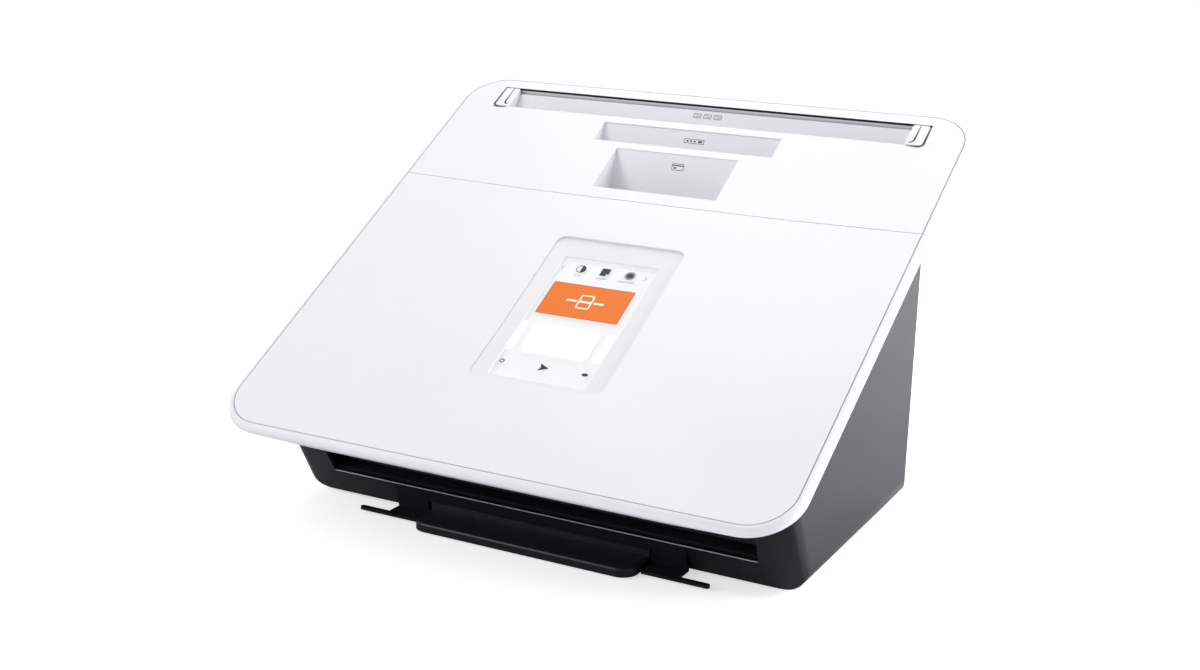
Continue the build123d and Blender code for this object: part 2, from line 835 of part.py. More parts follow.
def pick_idler_place():
    return third_corner(feed_place(), pick_place(), centre_distance(feed_teeth, pick_idler_teeth),
                        centre_distance(pick_teeth, pick_idler_teeth))


def reduction_place():
    return beyond(feed_place(), centre_distance(feed_teeth, reduction_teeth), reduction_angle)


def motor_place():
    return beyond(reduction_place(), centre_distance(reduction_teeth, motor_teeth), motor_angle)


def heading(a, b):
    """Angle of the line from one place to another, in degrees."""
    return Vector(1, 0, 0).get_signed_angle(Vector(b[0] - a[0], b[1] - a[1], 0), Vector(0, 0, 1))


def meshed_phase(place_a, teeth_a, phase_a, place_b, teeth_b):
    """Phase of gear b that puts its gaps on the teeth of gear a."""
    line = heading(place_a, place_b)
    past_tooth = (line - phase_a) % (360 / teeth_a)
    return line + 180 + (past_tooth * teeth_a - 180) / teeth_b


feed_phase = 0.0
reduction_phase = meshed_phase(feed_place(), feed_teeth, feed_phase, reduction_place(), reduction_teeth)
motor_phase = meshed_phase(reduction_place(), reduction_teeth, reduction_phase,
                           motor_place(), motor_teeth)
pick_idler_phase = meshed_phase(feed_place(), feed_teeth, feed_phase,
                                pick_idler_place(), pick_idler_teeth)
pick_phase = meshed_phase(pick_idler_place(), pick_idler_teeth, pick_idler_phase,
                          pick_place(), pick_teeth)


def feed_motor():
    v, n = motor_place()
    can = rod(frame_inner - motor_length, frame_inner, v, n, motor_radius)
    can = fillet(can.edges().filter_by(GeomType.CIRCLE).sort_by(Axis.X)[0], 2)
    return can - rod(frame_inner - 12, frame_inner + 1, v, n, motor_shaft_radius + running_play)


def motor_shaft():
    v, n = motor_place()
    return rod(frame_inner - 11, gear_outer, v, n, motor_shaft_radius)


# Upper guide and what it carries in the cover

def cover_screw_places():
    return [(u, v) for u in (-cover_screw_u, cover_screw_u)
            for v in (cover_screw_front, cover_screw_back)]


def upper_guide():
    """Open box under the cover that guides the sheet and carries the upper scan module."""
    half, low, top = guide_half_width, upper_guide_bottom, -panel_thickness
    box = block(-half, half, guide_front, guide_rear, low, top)
    box -= block(-half + guide_wall, half - guide_wall, guide_front + guide_wall,
                 guide_rear - guide_wall, upper_guide_floor, top + 1)
    for side in (-1, 1):
        inner, outer = side * (half - guide_wall), side * half
        lug = rod(min(inner, outer), max(inner, outer), hinge_v, hinge_n, hinge_ear_radius)
        lug += block(inner, outer, hinge_v, guide_front + 1, hinge_n - hinge_ear_radius, top)
        box += lug
        for at in (exit_at, feed_at):
            box += block(side * rib_at, side * (rib_at + guide_wall), at - pinch_radius - 1,
                         at + pinch_radius + 1, upper_guide_floor, pinch_n + pinch_radius)
        ear = pad_half_width + 1.8
        box += block(side * ear, side * (ear + guide_wall), pad_pivot_v - 3, pad_pivot_v + 3,
                     upper_guide_floor, pad_pivot_level + 3)
    for u, v in cover_screw_places():
        box += post(u, v, upper_guide_floor, top, cover_boss_radius)
        box -= post(u, v, low - 1, top + 1, screw_radius)
        box -= post(u, v, low - 1, low + screw_head_height + 0.2, screw_head_radius + 0.2)
    box -= rod(-half - 1, half + 1, hinge_v, hinge_n, hinge_pin_radius + running_play)
    for at in (exit_at, feed_at):
        box -= rod(-rib_at - guide_wall - 1, rib_at + guide_wall + 1, at, pinch_n,
                   pinch_shaft_radius + running_play)
        across = (pinch_radius ** 2 - (pinch_n - upper_guide_floor) ** 2) ** 0.5 + window_play
        for u in tyre_places:
            box -= block(u - tyre_width / 2 - window_play, u + tyre_width / 2 + window_play,
                         at - across, at + across, low - 1, upper_guide_floor + 0.1)
    box -= block(-scan_glass_half - slot_play, scan_glass_half + slot_play,
                 upper_scan_at - scan_glass_width / 2 - slot_play,
                 upper_scan_at + scan_glass_width / 2 + slot_play, low - 1, upper_guide_floor + 0.1)
    box -= block(-pad_half_width - window_play, pad_half_width + window_play,
                 pad_pivot_v - 3.5, guide_rear - guide_wall, low - 1, upper_guide_floor + 0.1)
    box -= rod(-pad_half_width - 8, pad_half_width + 8, pad_pivot_v, pad_pivot_level, pad_pin_radius)
    return box


def cover_screws():
    screws = []
    for u, v in cover_screw_places():
        head = upper_guide_bottom + 0.2
        screws.append(post(u, v, head, head + screw_head_height, screw_head_radius)
                      + post(u, v, head + screw_head_height,
                             -panel_thickness + liner_thickness - 0.2, screw_radius))
    return group(screws)


def cover_catches():
    """Spring leaves on the guide's back wall that snap past the strikes."""
    tip = strike_at - strike_radius - catch_gap
    leaf = guide_rear + catch_leaf
    rise = tip - leaf
    outline = [(guide_rear, strike_level + 2 * rise + 4), (leaf, strike_level + 2 * rise + 4),
               (leaf, strike_level + rise), (tip, strike_level), (leaf, strike_level - rise),
               (guide_rear, strike_level - rise)]
    near = frame_inner - strike_reach
    catch = prism_x(outline, near, guide_half_width - guide_wall)
    return group([catch, mirrored(catch)])


def pinch_roller(at):
    """Plastic idle roller with its four tyres turned on one shaft."""
    roller = rod(-rib_at - 4, rib_at + 4, at, pinch_n, pinch_shaft_radius)
    for u in tyre_places:
        roller += rod(u - tyre_width / 2, u + tyre_width / 2, at, pinch_n, pinch_radius)
    return roller


def pad_holder():
    """Sprung plate over the pick roller, turning on its pin."""
    low = paper_path + nip_gap + pad_thickness
    plate = block(-pad_half_width, pad_half_width, pad_pivot_v - 1, pad_rear, low,
                  low + pad_holder_thickness)
    plate += block(-pad_half_width, pad_half_width, pad_pivot_v - 1, pad_pivot_v + 1, low, pad_pivot_level)
    plate += rod(-pad_half_width, pad_half_width, pad_pivot_v, pad_pivot_level, pad_barrel_radius)
    return plate - rod(-pad_half_width - 1, pad_half_width + 1, pad_pivot_v, pad_pivot_level,
                       pad_pin_radius + running_play)


def separation_pad():
    low = paper_path + nip_gap
    return block(-pad_half_width, pad_half_width, pad_front, pad_rear, low, low + pad_thickness)


def pad_pin():
    half = pad_half_width + 1.8 + guide_wall
    return rod(-half, half, pad_pivot_v, pad_pivot_level, pad_pin_radius)


def pad_spring():
    """Torsion spring on the pad's pin, with its leg over the holder."""
    inner, outer = pad_half_width + 0.2, pad_half_width + 1.7
    coil = rod(inner, outer, pad_pivot_v, pad_pivot_level, pad_barrel_radius)
    coil += block(inner, outer - 0.5, pad_pivot_v, pad_pivot_v + 10, pad_pivot_level + 1.2, pad_pivot_level + 2)
    return coil - rod(inner - 1, outer + 1, pad_pivot_v, pad_pivot_level, pad_pin_radius)


# Input tray

def chute_floor(start, slope, level, half):
    """Sloping floor behind a slot that runs out level towards the pick roller."""
    top_v, top_n = start
    rise, thick = tan(radians(slope)), chute_plate / cos(radians(slope))
    elbow = top_v - (top_n - level) / rise
    elbow_under = top_v - (top_n - thick - level + chute_plate) / rise
    outline = [(top_v, top_n), (elbow, level), (chute_front, level), (chute_front, level - chute_plate),
               (elbow_under, level - chute_plate), (top_v, top_n - thick)]
    return prism_x(outline, -half, half)


def chute(start, slope, level, half):
    """Chute with a floor and two side walls that reach the panel's skin."""
    below_skin = panel_outline(panel_rim_wall + rim_taper, -reach, -panel_skin) - dish(panel_skin)
    floor_plate = chute_floor(start, slope, level, half + chute_plate) & below_skin
    floor_plate += chute_floor(start, slope, level, half)
    top_v, top_n = start
    elbow = top_v - (top_n - level) / tan(radians(slope))
    side = [(top_v, top_n), (elbow, level), (chute_front, level), (chute_front, 0), (top_v, 0)]
    wall = prism_x(side, half, half + chute_plate)
    return floor_plate + ((wall + mirrored(wall)) & below_skin)


def document_start():
    return (document_far - slit_width, -document_lip)


def document_chute():
    return chute_floor(document_start(), document_slope, document_level, belly_half - belly_wall)


def receipt_chute():
    return chute((receipt_far - slot_play, -slot_lip), receipt_slope, receipt_level, receipt_half)


def card_chute():
    return chute((card_far - slot_play, -slot_lip), card_slope, card_level, card_half)


def input_tray_panel():
    panel = panel_section(seam_at + seam_gap / 2, panel_length + 1, panel_skin, 0)
    guide_end = guide_tab_outer + guide_tab_gap
    panel -= block(-guide_end, guide_end, document_near, document_far, -panel_thickness, 1)
    panel -= block(-receipt_half, receipt_half, receipt_near, receipt_far, -panel_thickness, 1)
    panel -= block(-card_half, card_half, card_near, card_far, -panel_thickness, 1)
    return panel


def belly_outline(gap, top, front):
    """Side view of the back shell at a gap below the document chute's floor."""
    top_v, top_n = document_start()
    under = top_n - (chute_plate + gap) / document_cos
    low = document_level - chute_plate - gap
    elbow = top_v - (under - low) / document_tan
    wall = gap - belly_gap
    room_low = rack_floor - wall
    meet = top_v - (under - room_low) / document_tan
    return [(front, low), (elbow, low), (meet, room_low)] + room_back(wall, top) + [(front, top)]


def room_back(wall, top):
    """Lower and upper end of the racks' room's back wall, moved out by wall."""
    low_n, mouth_n = rack_floor - wall, -panel_thickness
    low_v = guide_pinion_v + rack_reach + guide_play + wall
    mouth_v = document_far + guide_play + wall
    lean = (mouth_v - low_v) / (mouth_n - low_n)
    return [(low_v, low_n), (mouth_v + lean * (top - mouth_n), top)]


def room_outline(wall, top):
    """Side view of the racks' room, moved out by wall."""
    near = rack_room_near + belly_wall - wall
    return [(near, top), (near, rack_floor - wall)] + room_back(wall, top)


def input_tray_back():
    """Shell that closes the input tray from below and holds the racks' room behind the slot."""
    shell = prism_x(belly_outline(belly_gap + belly_wall, 0, belly_front), -belly_half, belly_half)
    shell += prism_x(room_outline(belly_wall, 0), -rack_room_half, rack_room_half)
    inset = panel_rim_wall + rim_taper + slot_play
    shell = shell & (panel_outline(inset, -reach, -panel_skin) - dish(panel_skin))
    flange = panel_outline(inset, -panel_thickness, -panel_thickness + liner_thickness)
    shell += flange & block(-reach, reach, chute_front, reach, -reach, reach)
    inner_half, side = belly_half - belly_wall, rack_room_half - belly_wall
    shell -= prism_x(belly_outline(belly_gap, 1, chute_front - 1), -inner_half, inner_half)
    shell -= prism_x(room_outline(0, 1), -side, side)
    return shell + post(0, guide_pinion_v, rack_floor - 1, rack_low + rack_height, guide_pinion_axle)


def rack(u0, u1, toward):
    """Toothed bar along u whose pitch line touches the guide pinion's."""
    pitch_v = guide_pinion_v - toward * pinion_radius
    root, tip = pitch_v - toward * tooth_root, pitch_v + toward * tooth_tip
    back = root - toward * rack_back
    step = pi * gear_module
    points = [(u0, back), (u0, root)]
    for tooth in range(ceil(u0 / step) + 1, floor(u1 / step)):
        for v, share in ((root, -0.3), (tip, -0.11), (tip, 0.11), (root, 0.3)):
            points.append(((tooth + share) * step, v))
    points += [(u1, root), (u1, back)]
    face = make_face(Polyline(*[(u, v, rack_low) for u, v in points], close=True))
    return extrude(face, amount=rack_height, dir=(0, 0, 1))


def guide_body(rack_v):
    """Tab, fence, leg and arm of the right paper guide, down to its rack at rack_v."""
    tab = rounded_block(paper_half_width, guide_tab_outer, document_near + guide_tab_gap,
                        document_far - guide_tab_gap, -guide_tab_thickness, 0, guide_tab_corner)
    start_v, start_n = document_start()
    low_n = start_n + guide_play / document_cos
    drop = guide_fence_drop * document_tan
    high_n = low_n + guide_fence_height
    high_v = start_v - (high_n + guide_tab_thickness / 2) / document_tan
    fence = prism_x([(start_v, -guide_tab_thickness / 2), (start_v, low_n),
                     (start_v - guide_fence_drop, low_n - drop),
                     (start_v - guide_fence_drop, high_n - drop), (high_v, -guide_tab_thickness / 2)],
                    paper_half_width, paper_half_width + guide_fence)
    leg_back = document_far - guide_tab_gap - slot_play
    leg_front = leg_back - guide_leg_thickness
    over = start_n - (chute_plate + 2 * guide_play) / document_cos
    under = over - guide_arm_thickness / document_cos
    bend = rack_v + rack_back / 2
    arm = prism_x([(leg_front, -guide_tab_thickness / 2), (leg_back, -guide_tab_thickness / 2),
                   (leg_back, under - (start_v - leg_back) * document_tan),
                   (bend, under - (start_v - bend) * document_tan), (bend, rack_low),
                   (rack_v - rack_back / 2, rack_low),
                   (rack_v - rack_back / 2, over - (start_v - rack_v + rack_back / 2) * document_tan),
                   (leg_front, over - (start_v - leg_front) * document_tan)],
                  arm_middle - guide_leg_half, arm_outer)
    return tab + fence + arm


def right_paper_guide():
    """Right guide, with its rack behind the pinion."""
    return guide_body(guide_pinion_v + rack_reach - rack_back / 2) + rack(-rack_overrun, arm_outer, -1)


def left_paper_guide():
    """Left guide, with its rack in front of the pinion."""
    body = guide_body(guide_pinion_v - rack_reach + rack_back / 2)
    return mirrored(body) + rack(-arm_outer, rack_overrun, 1)


def guide_pinion():
    wheel = spur(guide_pinion_teeth, rack_height, guide_pinion_axle + running_play, 0)
    return Pos(0, guide_pinion_v, rack_low) * wheel


# Output tray

def tray_wall_places():
    """World depths of the tray's front wall: outer and inner at its foot, outer at its top."""
    foot = depth_at_height(base_front, floor_top) - tray_play
    return foot - tray_wall, foot, depth_at_height(base_front, tray_top) + tray_play


def output_tray():
    """Tray with a front wall, a thin strip before it, side walls and rails for the extension."""
    front, back = deck_y + tray_front, deck_y + tray_back
    wall_front, wall_back, top_front = tray_wall_places()
    low = floor_top + tray_play
    under = tray_top - tray_plate
    wall = prism_x([(top_front, tray_top), (wall_front, strip_low), (wall_back, strip_low),
                    (top_front + tray_wall, tray_top)], -tray_half_width, tray_half_width)
    strip_top = strip_low + strip_thickness
    strip = rounded_block(-strip_half_width, strip_half_width, front, front + strip_depth,
                          strip_low, strip_top, strip_depth / 2 - 0.05)
    strip += block(-tray_half_width, tray_half_width, front + strip_depth / 2, wall_back,
                   strip_low, strip_top)
    opening = lip_half_width + 1 + extension_play
    tray = wall + strip - block(-opening, opening, front - 1, wall_back + tray_wall, 0,
                                extension_top() + extension_play)
    tray += block(-tray_half_width, tray_half_width, top_front + tray_wall / 2, back, under, tray_top)
    for side in (-1, 1):
        tray += block(side * (tray_half_width - tray_wall), side * tray_half_width,
                      wall_back - tray_wall / 2, back, low, under)
        tray += block(side * opening, side * (opening + tray_wall), wall_back - tray_wall / 2, back,
                      low, under)
        tray += block(side * (opening - extension_flange), side * opening, wall_back + tray_wall, back,
                      low, low + flange_thickness)
    return tray


def extension_top():
    return floor_top + tray_play + flange_thickness + extension_play + extension_plate


def tray_extension():
    """Sliding plate under the tray, with the finger lip before its front wall."""
    front = deck_y + tray_front - lip_reach
    wall_front, wall_back, _ = tray_wall_places()
    top = extension_top()
    lip = rounded_block(-lip_half_width, lip_half_width, front, wall_back + lip_corner,
                        lip_low, lip_low + lip_height, lip_corner)
    lip = lip & block(-reach, reach, front - 1, wall_back, 0, reach)
    rim = lip.edges().group_by(Axis.Z)[-1].filter_by(lambda edge: edge.center().Y < wall_back - 0.01)
    lip = fillet(rim, lip_round)
    wall = block(-lip_half_width, lip_half_width, wall_front, wall_back, lip_low, top)
    return lip + wall + block(-lip_half_width - 1, lip_half_width + 1, wall_back - 1,
                              deck_y + extension_back, top - extension_plate, top)


# Electronics

def board_post_places():
    x0, x1 = board_left + board_post_inset, board_right - board_post_inset
    y0, y1 = deck_y + board_front + board_post_inset, deck_y + board_back - board_post_inset
    return [(x, y) for x in (x0, x1) for y in (y0, y1)]


def main_board():
    """Circuit board with its larger chips and the power switch."""
    front, back = deck_y + board_front, deck_y + board_back
    board = block(board_left, board_right, front, back, board_low, board_top)
    for (x, y), (width, length), height in chip_places:
        board += block(x, x + width, front + y, front + y + length, board_top, board_top + height)
    switch_face = button_stem_end() - button_travel - guide_play
    board += block(button_x - switch_width / 2, button_x + switch_width / 2,
                   switch_face - switch_depth, switch_face, board_top, button_height + switch_rise)
    return board


def socket_face():
    return base_back_y - base_wall - 0.2


def power_jack():
    low, face = board_top, socket_face()
    axis = low + jack_height / 2
    jack = block(jack_x - jack_width / 2, jack_x + jack_width / 2, face - jack_depth, face,
                 low, low + jack_height)
    jack -= bar_y(jack_x, face - jack_depth + 3, face + 1, axis, jack_bore)
    return jack + bar_y(jack_x, face - jack_depth + 2, face - 1, axis, jack_pin)


def usb_socket():
    low, face = board_top, socket_face()
    socket = block(usb_x - usb_width / 2, usb_x + usb_width / 2, face - usb_depth, face,
                   low, low + usb_height)
    middle = low + usb_height / 2
    socket -= block(usb_x - usb_mouth_width / 2, usb_x + usb_mouth_width / 2,
                    face - usb_depth + 3, face + 1,
                    middle - usb_mouth_height / 2, middle + usb_mouth_height / 2)
    return socket + block(usb_x - 2.8, usb_x + 2.8, face - usb_depth + 2, face - 2,
                          middle - 1.6, middle + 1.6)


def card_reader():
    low, face = board_top, socket_face()
    reader = block(card_x - card_reader_width / 2, card_x + card_reader_width / 2,
                   face - card_reader_depth, face, low, low + card_reader_height)
    return reader - block(card_x - card_mouth_width / 2, card_x + card_mouth_width / 2,
                          face - card_reader_depth + 2, face + 1, low + 0.7,
                          low + 0.7 + card_mouth_height)


def button_stem_end():
    return base_back_y - base_wall - 11


def power_button():
    face, inside = base_back_y + button_proud, base_back_y - base_wall
    cap = bar_y(button_x, inside - button_flange, face, button_height, button_radius)
    cap = fillet(cap.edges().filter_by(GeomType.CIRCLE).sort_by(Axis.Y)[-1], 0.6)
    cap += bar_y(button_x, inside - button_flange - 0.1, inside - 0.1, button_height,
                 button_radius + 1.5)
    return cap + bar_y(button_x, button_stem_end(), inside, button_height, 2)


deck_parts = {
    "cover_shell": cover_shell(),
    "cover_liner": cover_liner(),
    "display_bezel": display_bezel(),
    "touch_glass": touch_glass(),
    "display_panel": display_panel(),
    "display_board": display_board(),
    "upper_paper_guide": upper_guide(),
    "upper_scan_module": scan_module(upper_scan_at, upper_guide_floor, upper_guide_floor + scan_height),
    "upper_scan_glass": scan_glass(upper_scan_at, upper_guide_bottom - glass_proud, upper_guide_floor),
    "cover_screws": cover_screws(),
    "cover_catches": cover_catches(),
    "pad_pivot_pin": pad_pin(),
    "pad_spring": pad_spring(),
    "pad_holder": pad_holder(),
    "separation_pad": separation_pad(),
    "exit_pinch_roller": pinch_roller(exit_at),
    "feed_pinch_roller": pinch_roller(feed_at),
    "roller_bushes": roller_bushes(),
    "cover_hinge_pins": hinge_pins(),
    "lower_paper_guide": lower_guide(),
    "lower_scan_module": scan_module(lower_scan_at, lower_guide_bottom - scan_height,
                                     lower_guide_bottom),
    "lower_scan_glass": scan_glass(lower_scan_at, lower_guide_bottom, lower_guide_top + guide_step / 2),
    "paper_sensor_flag": paper_sensor_flag(),
    "exit_roller_shaft": roller_shaft(exit_at, drive_n, shaft_end, gear_inner),
    "exit_roller_tyres": drive_tyres(exit_at),
    "exit_pulley": pulley(exit_at),
    "feed_roller_shaft": roller_shaft(feed_at, drive_n, shaft_end, shaft_end),
    "feed_roller_tyres": drive_tyres(feed_at),
    "feed_pulley": pulley(feed_at),
    "drive_belt": drive_belt(),
    "pick_roller_shaft": (roller_shaft(pick_at, pick_n, gear_inner, shaft_end)
                          + rod(-pick_half_width, pick_half_width, pick_at, pick_n, pick_hub_radius)),
    "pick_roller_tyre": tube(-pick_half_width, pick_half_width, pick_at, pick_n, pick_radius,
                             pick_hub_radius),
    "feed_gear": drive_gear(feed_teeth, feed_place(), shaft_radius, feed_phase),
    "pick_gear": drive_gear(pick_teeth, pick_place(), shaft_radius, pick_phase),
    "pick_idler_gear": drive_gear(pick_idler_teeth, pick_idler_place(), post_radius + running_play,
                                  pick_idler_phase),
    "reduction_gear": drive_gear(reduction_teeth, reduction_place(), post_radius + running_play,
                                 reduction_phase),
    "motor_pinion": drive_gear(motor_teeth, motor_place(), motor_shaft_radius, motor_phase),
    "motor_shaft": motor_shaft(),
    "feed_motor": feed_motor(),
    "input_tray_panel": input_tray_panel(),
    "input_tray_back": input_tray_back(),
    "document_chute": document_chute(),
    "receipt_chute": receipt_chute(),
    "card_chute": card_chute(),
    "left_paper_guide": left_paper_guide(),
    "right_paper_guide": right_paper_guide(),
    "guide_pinion": guide_pinion(),
}

base_parts = {
    "base_housing": base_housing(),
    "rubber_feet": rubber_feet(),
    "base_screws": base_screws(),
    "chassis_plate": chassis_plate(),
    "side_frame_left": side_frame_left(),
    "side_frame_right": side_frame_right(),
    "output_tray": output_tray(),
    "tray_extension": tray_extension(),
    "main_board": main_board(),
    "power_jack": power_jack(),
    "usb_socket": usb_socket(),
    "card_reader": card_reader(),
    "power_button": power_button(),
}

for name, shape in deck_parts.items():
    export_step(on_deck(shape), f"parts/{name}.step")
for name, shape in base_parts.items():
    export_step(shape, f"parts/{name}.step")
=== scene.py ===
import logging
import math
from dataclasses import dataclass
from enum import Enum
from typing import Any

import bmesh
import bpy
from mathutils import Matrix, Vector


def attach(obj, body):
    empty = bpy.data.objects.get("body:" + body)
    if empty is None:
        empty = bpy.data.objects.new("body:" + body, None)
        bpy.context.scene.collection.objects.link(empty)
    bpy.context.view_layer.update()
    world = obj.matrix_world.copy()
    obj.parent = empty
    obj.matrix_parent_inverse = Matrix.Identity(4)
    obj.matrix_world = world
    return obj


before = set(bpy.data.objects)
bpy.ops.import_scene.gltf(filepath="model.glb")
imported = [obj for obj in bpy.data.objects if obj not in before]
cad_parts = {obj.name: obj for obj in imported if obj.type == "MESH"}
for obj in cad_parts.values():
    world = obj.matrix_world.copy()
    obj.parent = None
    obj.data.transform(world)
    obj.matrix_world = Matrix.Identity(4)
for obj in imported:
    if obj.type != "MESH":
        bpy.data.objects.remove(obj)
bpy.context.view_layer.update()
log = logging.getLogger("document_scanner")

MM = 0.001
FINE_DETAIL = 3.0
BLACK = "101012"
WHITE = (1.0, 1.0, 1.0, 1.0)
Pair = tuple[float, float]
Triple = tuple[float, float, float]
Outline = list[Pair]


# Shader maths

class Value:
    """A shader socket that takes Python's operators.

    Args:
        graph: The material's graph that the socket belongs to.
        socket: The output socket.
    """

    def __init__(self, graph: "Graph", socket: bpy.types.NodeSocket) -> None:
        """Keep the graph and the socket."""
        self.graph = graph
        self.socket = socket

    def __add__(self, other: "Value | float") -> "Value":
        """Sum."""
        return self.graph.maths("ADD", self, other)

    __radd__ = __add__

    def __sub__(self, other: "Value | float") -> "Value":
        """Difference."""
        return self.graph.maths("SUBTRACT", self, other)

    def __rsub__(self, other: float) -> "Value":
        """Difference from a number."""
        return self.graph.maths("SUBTRACT", other, self)

    def __mul__(self, other: "Value | float") -> "Value":
        """Product."""
        return self.graph.maths("MULTIPLY", self, other)

    __rmul__ = __mul__

    def __gt__(self, other: "Value | float") -> "Value":
        """One where it is the larger, else zero."""
        return self.graph.maths("GREATER_THAN", self, other)

    def __lt__(self, other: "Value | float") -> "Value":
        """One where it is the smaller, else zero."""
        return self.graph.maths("LESS_THAN", self, other)


class Graph:
    """Node tree of one material or world.

    Args:
        tree: The node tree, which is emptied.
    """

    def __init__(self, tree: bpy.types.NodeTree) -> None:
        """Empty the tree and keep it."""
        self.tree = tree
        tree.nodes.clear()

    def node(self, kind: str, settings: dict[str, Any] | None = None,
             inputs: dict[str | int, Any] | None = None) -> bpy.types.Node:
        """Add a node.

        Args:
            kind: The node's type without its ShaderNode prefix.
            settings: Properties set first.
            inputs: Values or links by socket name or place.

        Returns:
            The node.
        """
        made = self.tree.nodes.new("ShaderNode" + kind)
        for name, setting in (settings or {}).items():
            setattr(made, name, setting)
        for key, given in (inputs or {}).items():
            if isinstance(given, Value):
                self.tree.links.new(given.socket, made.inputs[key])
            elif given is not None:
                made.inputs[key].default_value = given
        return made

    def value(self, kind: str, settings: dict[str, Any] | None = None,
              inputs: dict[str | int, Any] | None = None, out: str | int = 0) -> Value:
        """Add a node and take one of its outputs.

        Args:
            kind: The node's type without its ShaderNode prefix.
            settings: Properties set first.
            inputs: Values or links by socket name or place.
            out: Name or place of the output.

        Returns:
            The output as a Value.
        """
        return Value(self, self.node(kind, settings, inputs).outputs[out])

    def maths(self, operation: str, first: Value | float, second: Value | float) -> Value:
        """Add a Math node for two values."""
        return self.value("Math", {"operation": operation}, {0: first, 1: second})

    def place(self, scale: Triple = (1.0, 1.0, 1.0)) -> Value:
        """Position on the piece, stretched by a factor in each direction."""
        at = self.value("TexCoord", out="Object")
        return self.value("Mapping", {"vector_type": "POINT"}, {"Vector": at, "Scale": scale})

    def noise(self, scale: float, detail: float = 2.0, stretch: Triple = (1.0, 1.0, 1.0)) -> Value:
        """Noise from 0 to 1.

        Args:
            scale: Spots per metre.
            detail: Number of finer layers.
            stretch: Factor in each direction.

        Returns:
            The noise.
        """
        return self.value("TexNoise", {"noise_dimensions": "3D"},
                          {"Vector": self.place(stretch), "Scale": scale, "Detail": detail})

    def ramp(self, value: Value, span: Pair, levels: Pair = (0.0, 1.0)) -> Value:
        """Smooth rise of a value.

        Args:
            value: The value.
            span: Where the rise starts and ends.
            levels: Levels before and after it.

        Returns:
            The level.
        """
        return self.value("MapRange", {"interpolation_type": "SMOOTHSTEP"},
                          {"Value": value, "From Min": span[0], "From Max": span[1],
                           "To Min": levels[0], "To Max": levels[1]})

    def blend(self, share: Value | float, first: Any, second: Any) -> Value:
        """Mix two colours by a share of the second."""
        return self.value("Mix", {"data_type": "RGBA"}, {0: share, 6: first, 7: second}, out=2)

    def bump(self, height: Value, depth: float) -> Value:
        """Normal of a relief whose full height is depth metres."""
        return self.value("Bump", None, {"Height": height, "Distance": depth, "Strength": 1.0})

    def coordinate(self, axis: str, vector: Value) -> Value:
        """One coordinate of a vector, by its letter."""
        return self.value("SeparateXYZ", None, {0: vector}, out=axis)


def tone(code: str, shade: float = 1.0) -> tuple[float, float, float, float]:
    """Colour for a socket.

    Args:
        code: Colour as an sRGB hex code.
        shade: Factor that darkens or lightens it.

    Returns:
        The linear colour with full alpha.
    """
    channels = [int(code[i:i + 2], 16) / 255 for i in (0, 2, 4)]
    linear = [c / 12.92 if c <= 0.04045 else ((c + 0.055) / 1.055) ** 2.4 for c in channels]
    return (*(min(1.0, c * shade) for c in linear), 1.0)


# Finishes

class Grain(Enum):
    """Surface of a moulding: spots per metre and their height in metres."""

    POLISHED = (900.0, 0.000004)
    SATIN = (1800.0, 0.000012)
    SPARKED = (1500.0, 0.00004)
    MATT = (1100.0, 0.00002)


@dataclass(frozen=True)
class Finish:
    """A surface that makes its own material once.

    Args:
        name: The material's name.
        code: Main colour as an sRGB hex code.
    """

    name: str
    code: str

    def material(self) -> bpy.types.Material:
        """Look the material up, or make it on first use.

        Returns:
            The material.
        """
        made = bpy.data.materials.get(self.name)
        if made is None:
            made = bpy.data.materials.new(self.name)
            made.use_nodes = True
            graph = Graph(made.node_tree)
            shader = self.shader(graph)
            graph.node("OutputMaterial", None, {"Surface": shader})
        return made

    def shader(self, graph: Graph) -> Value:
        """Build the finish's nodes.

        Args:
            graph: The material's graph.

        Returns:
            The shader.
        """
        raise NotImplementedError

    def surface(self, graph: Graph, **sockets: Any) -> Value:
        """Add a Principled shader.

        Args:
            graph: The material's graph.
            sockets: Values by socket, named in Python's way.

        Returns:
            The shader.
        """
        named = {key.replace("_", " ").title().replace("Ior", "IOR"): given
                 for key, given in sockets.items()}
        return graph.value("BsdfPrincipled", None, named)


@dataclass(frozen=True)
class Moulding(Finish):
    """Moulded plastic with grain, faint flow marks and uneven sheen.

    Args:
        roughness: Middle of its roughness.
        grain: Its surface grain.
        mottle: Share that its colour strays by.
        coat: Weight of a glossy coat.
        coat_roughness: Roughness of the coat.
        flow: Flow marks per metre.
        flow_stretch: Their stretch in each direction.
        sheen: How far the roughness strays with the flow marks.
        fine_sheen: How far it strays with the grain.
    """

    roughness: float
    grain: Grain
    mottle: float = 0.03
    coat: float = 0.0
    coat_roughness: float = 0.08
    flow: float = 22.0
    flow_stretch: Triple = (1.0, 0.6, 1.4)
    sheen: float = 0.1
    fine_sheen: float = 0.06

    def shader(self, graph: Graph) -> Value:
        """Build the finish's nodes.

        Args:
            graph: The material's graph.

        Returns:
            The shader.
        """
        per_metre, depth = self.grain.value
        fine = graph.noise(per_metre)
        broad = graph.noise(self.flow, FINE_DETAIL, self.flow_stretch)
        colour = graph.blend(broad, tone(self.code, 1 - self.mottle),
                             tone(self.code, 1 + self.mottle))
        rough = self.roughness + self.sheen * (broad - 0.5) + self.fine_sheen * (fine - 0.5)
        return self.surface(graph, base_color=colour, roughness=rough,
                            normal=graph.bump(fine, depth), coat_weight=self.coat,
                            coat_roughness=self.coat_roughness)


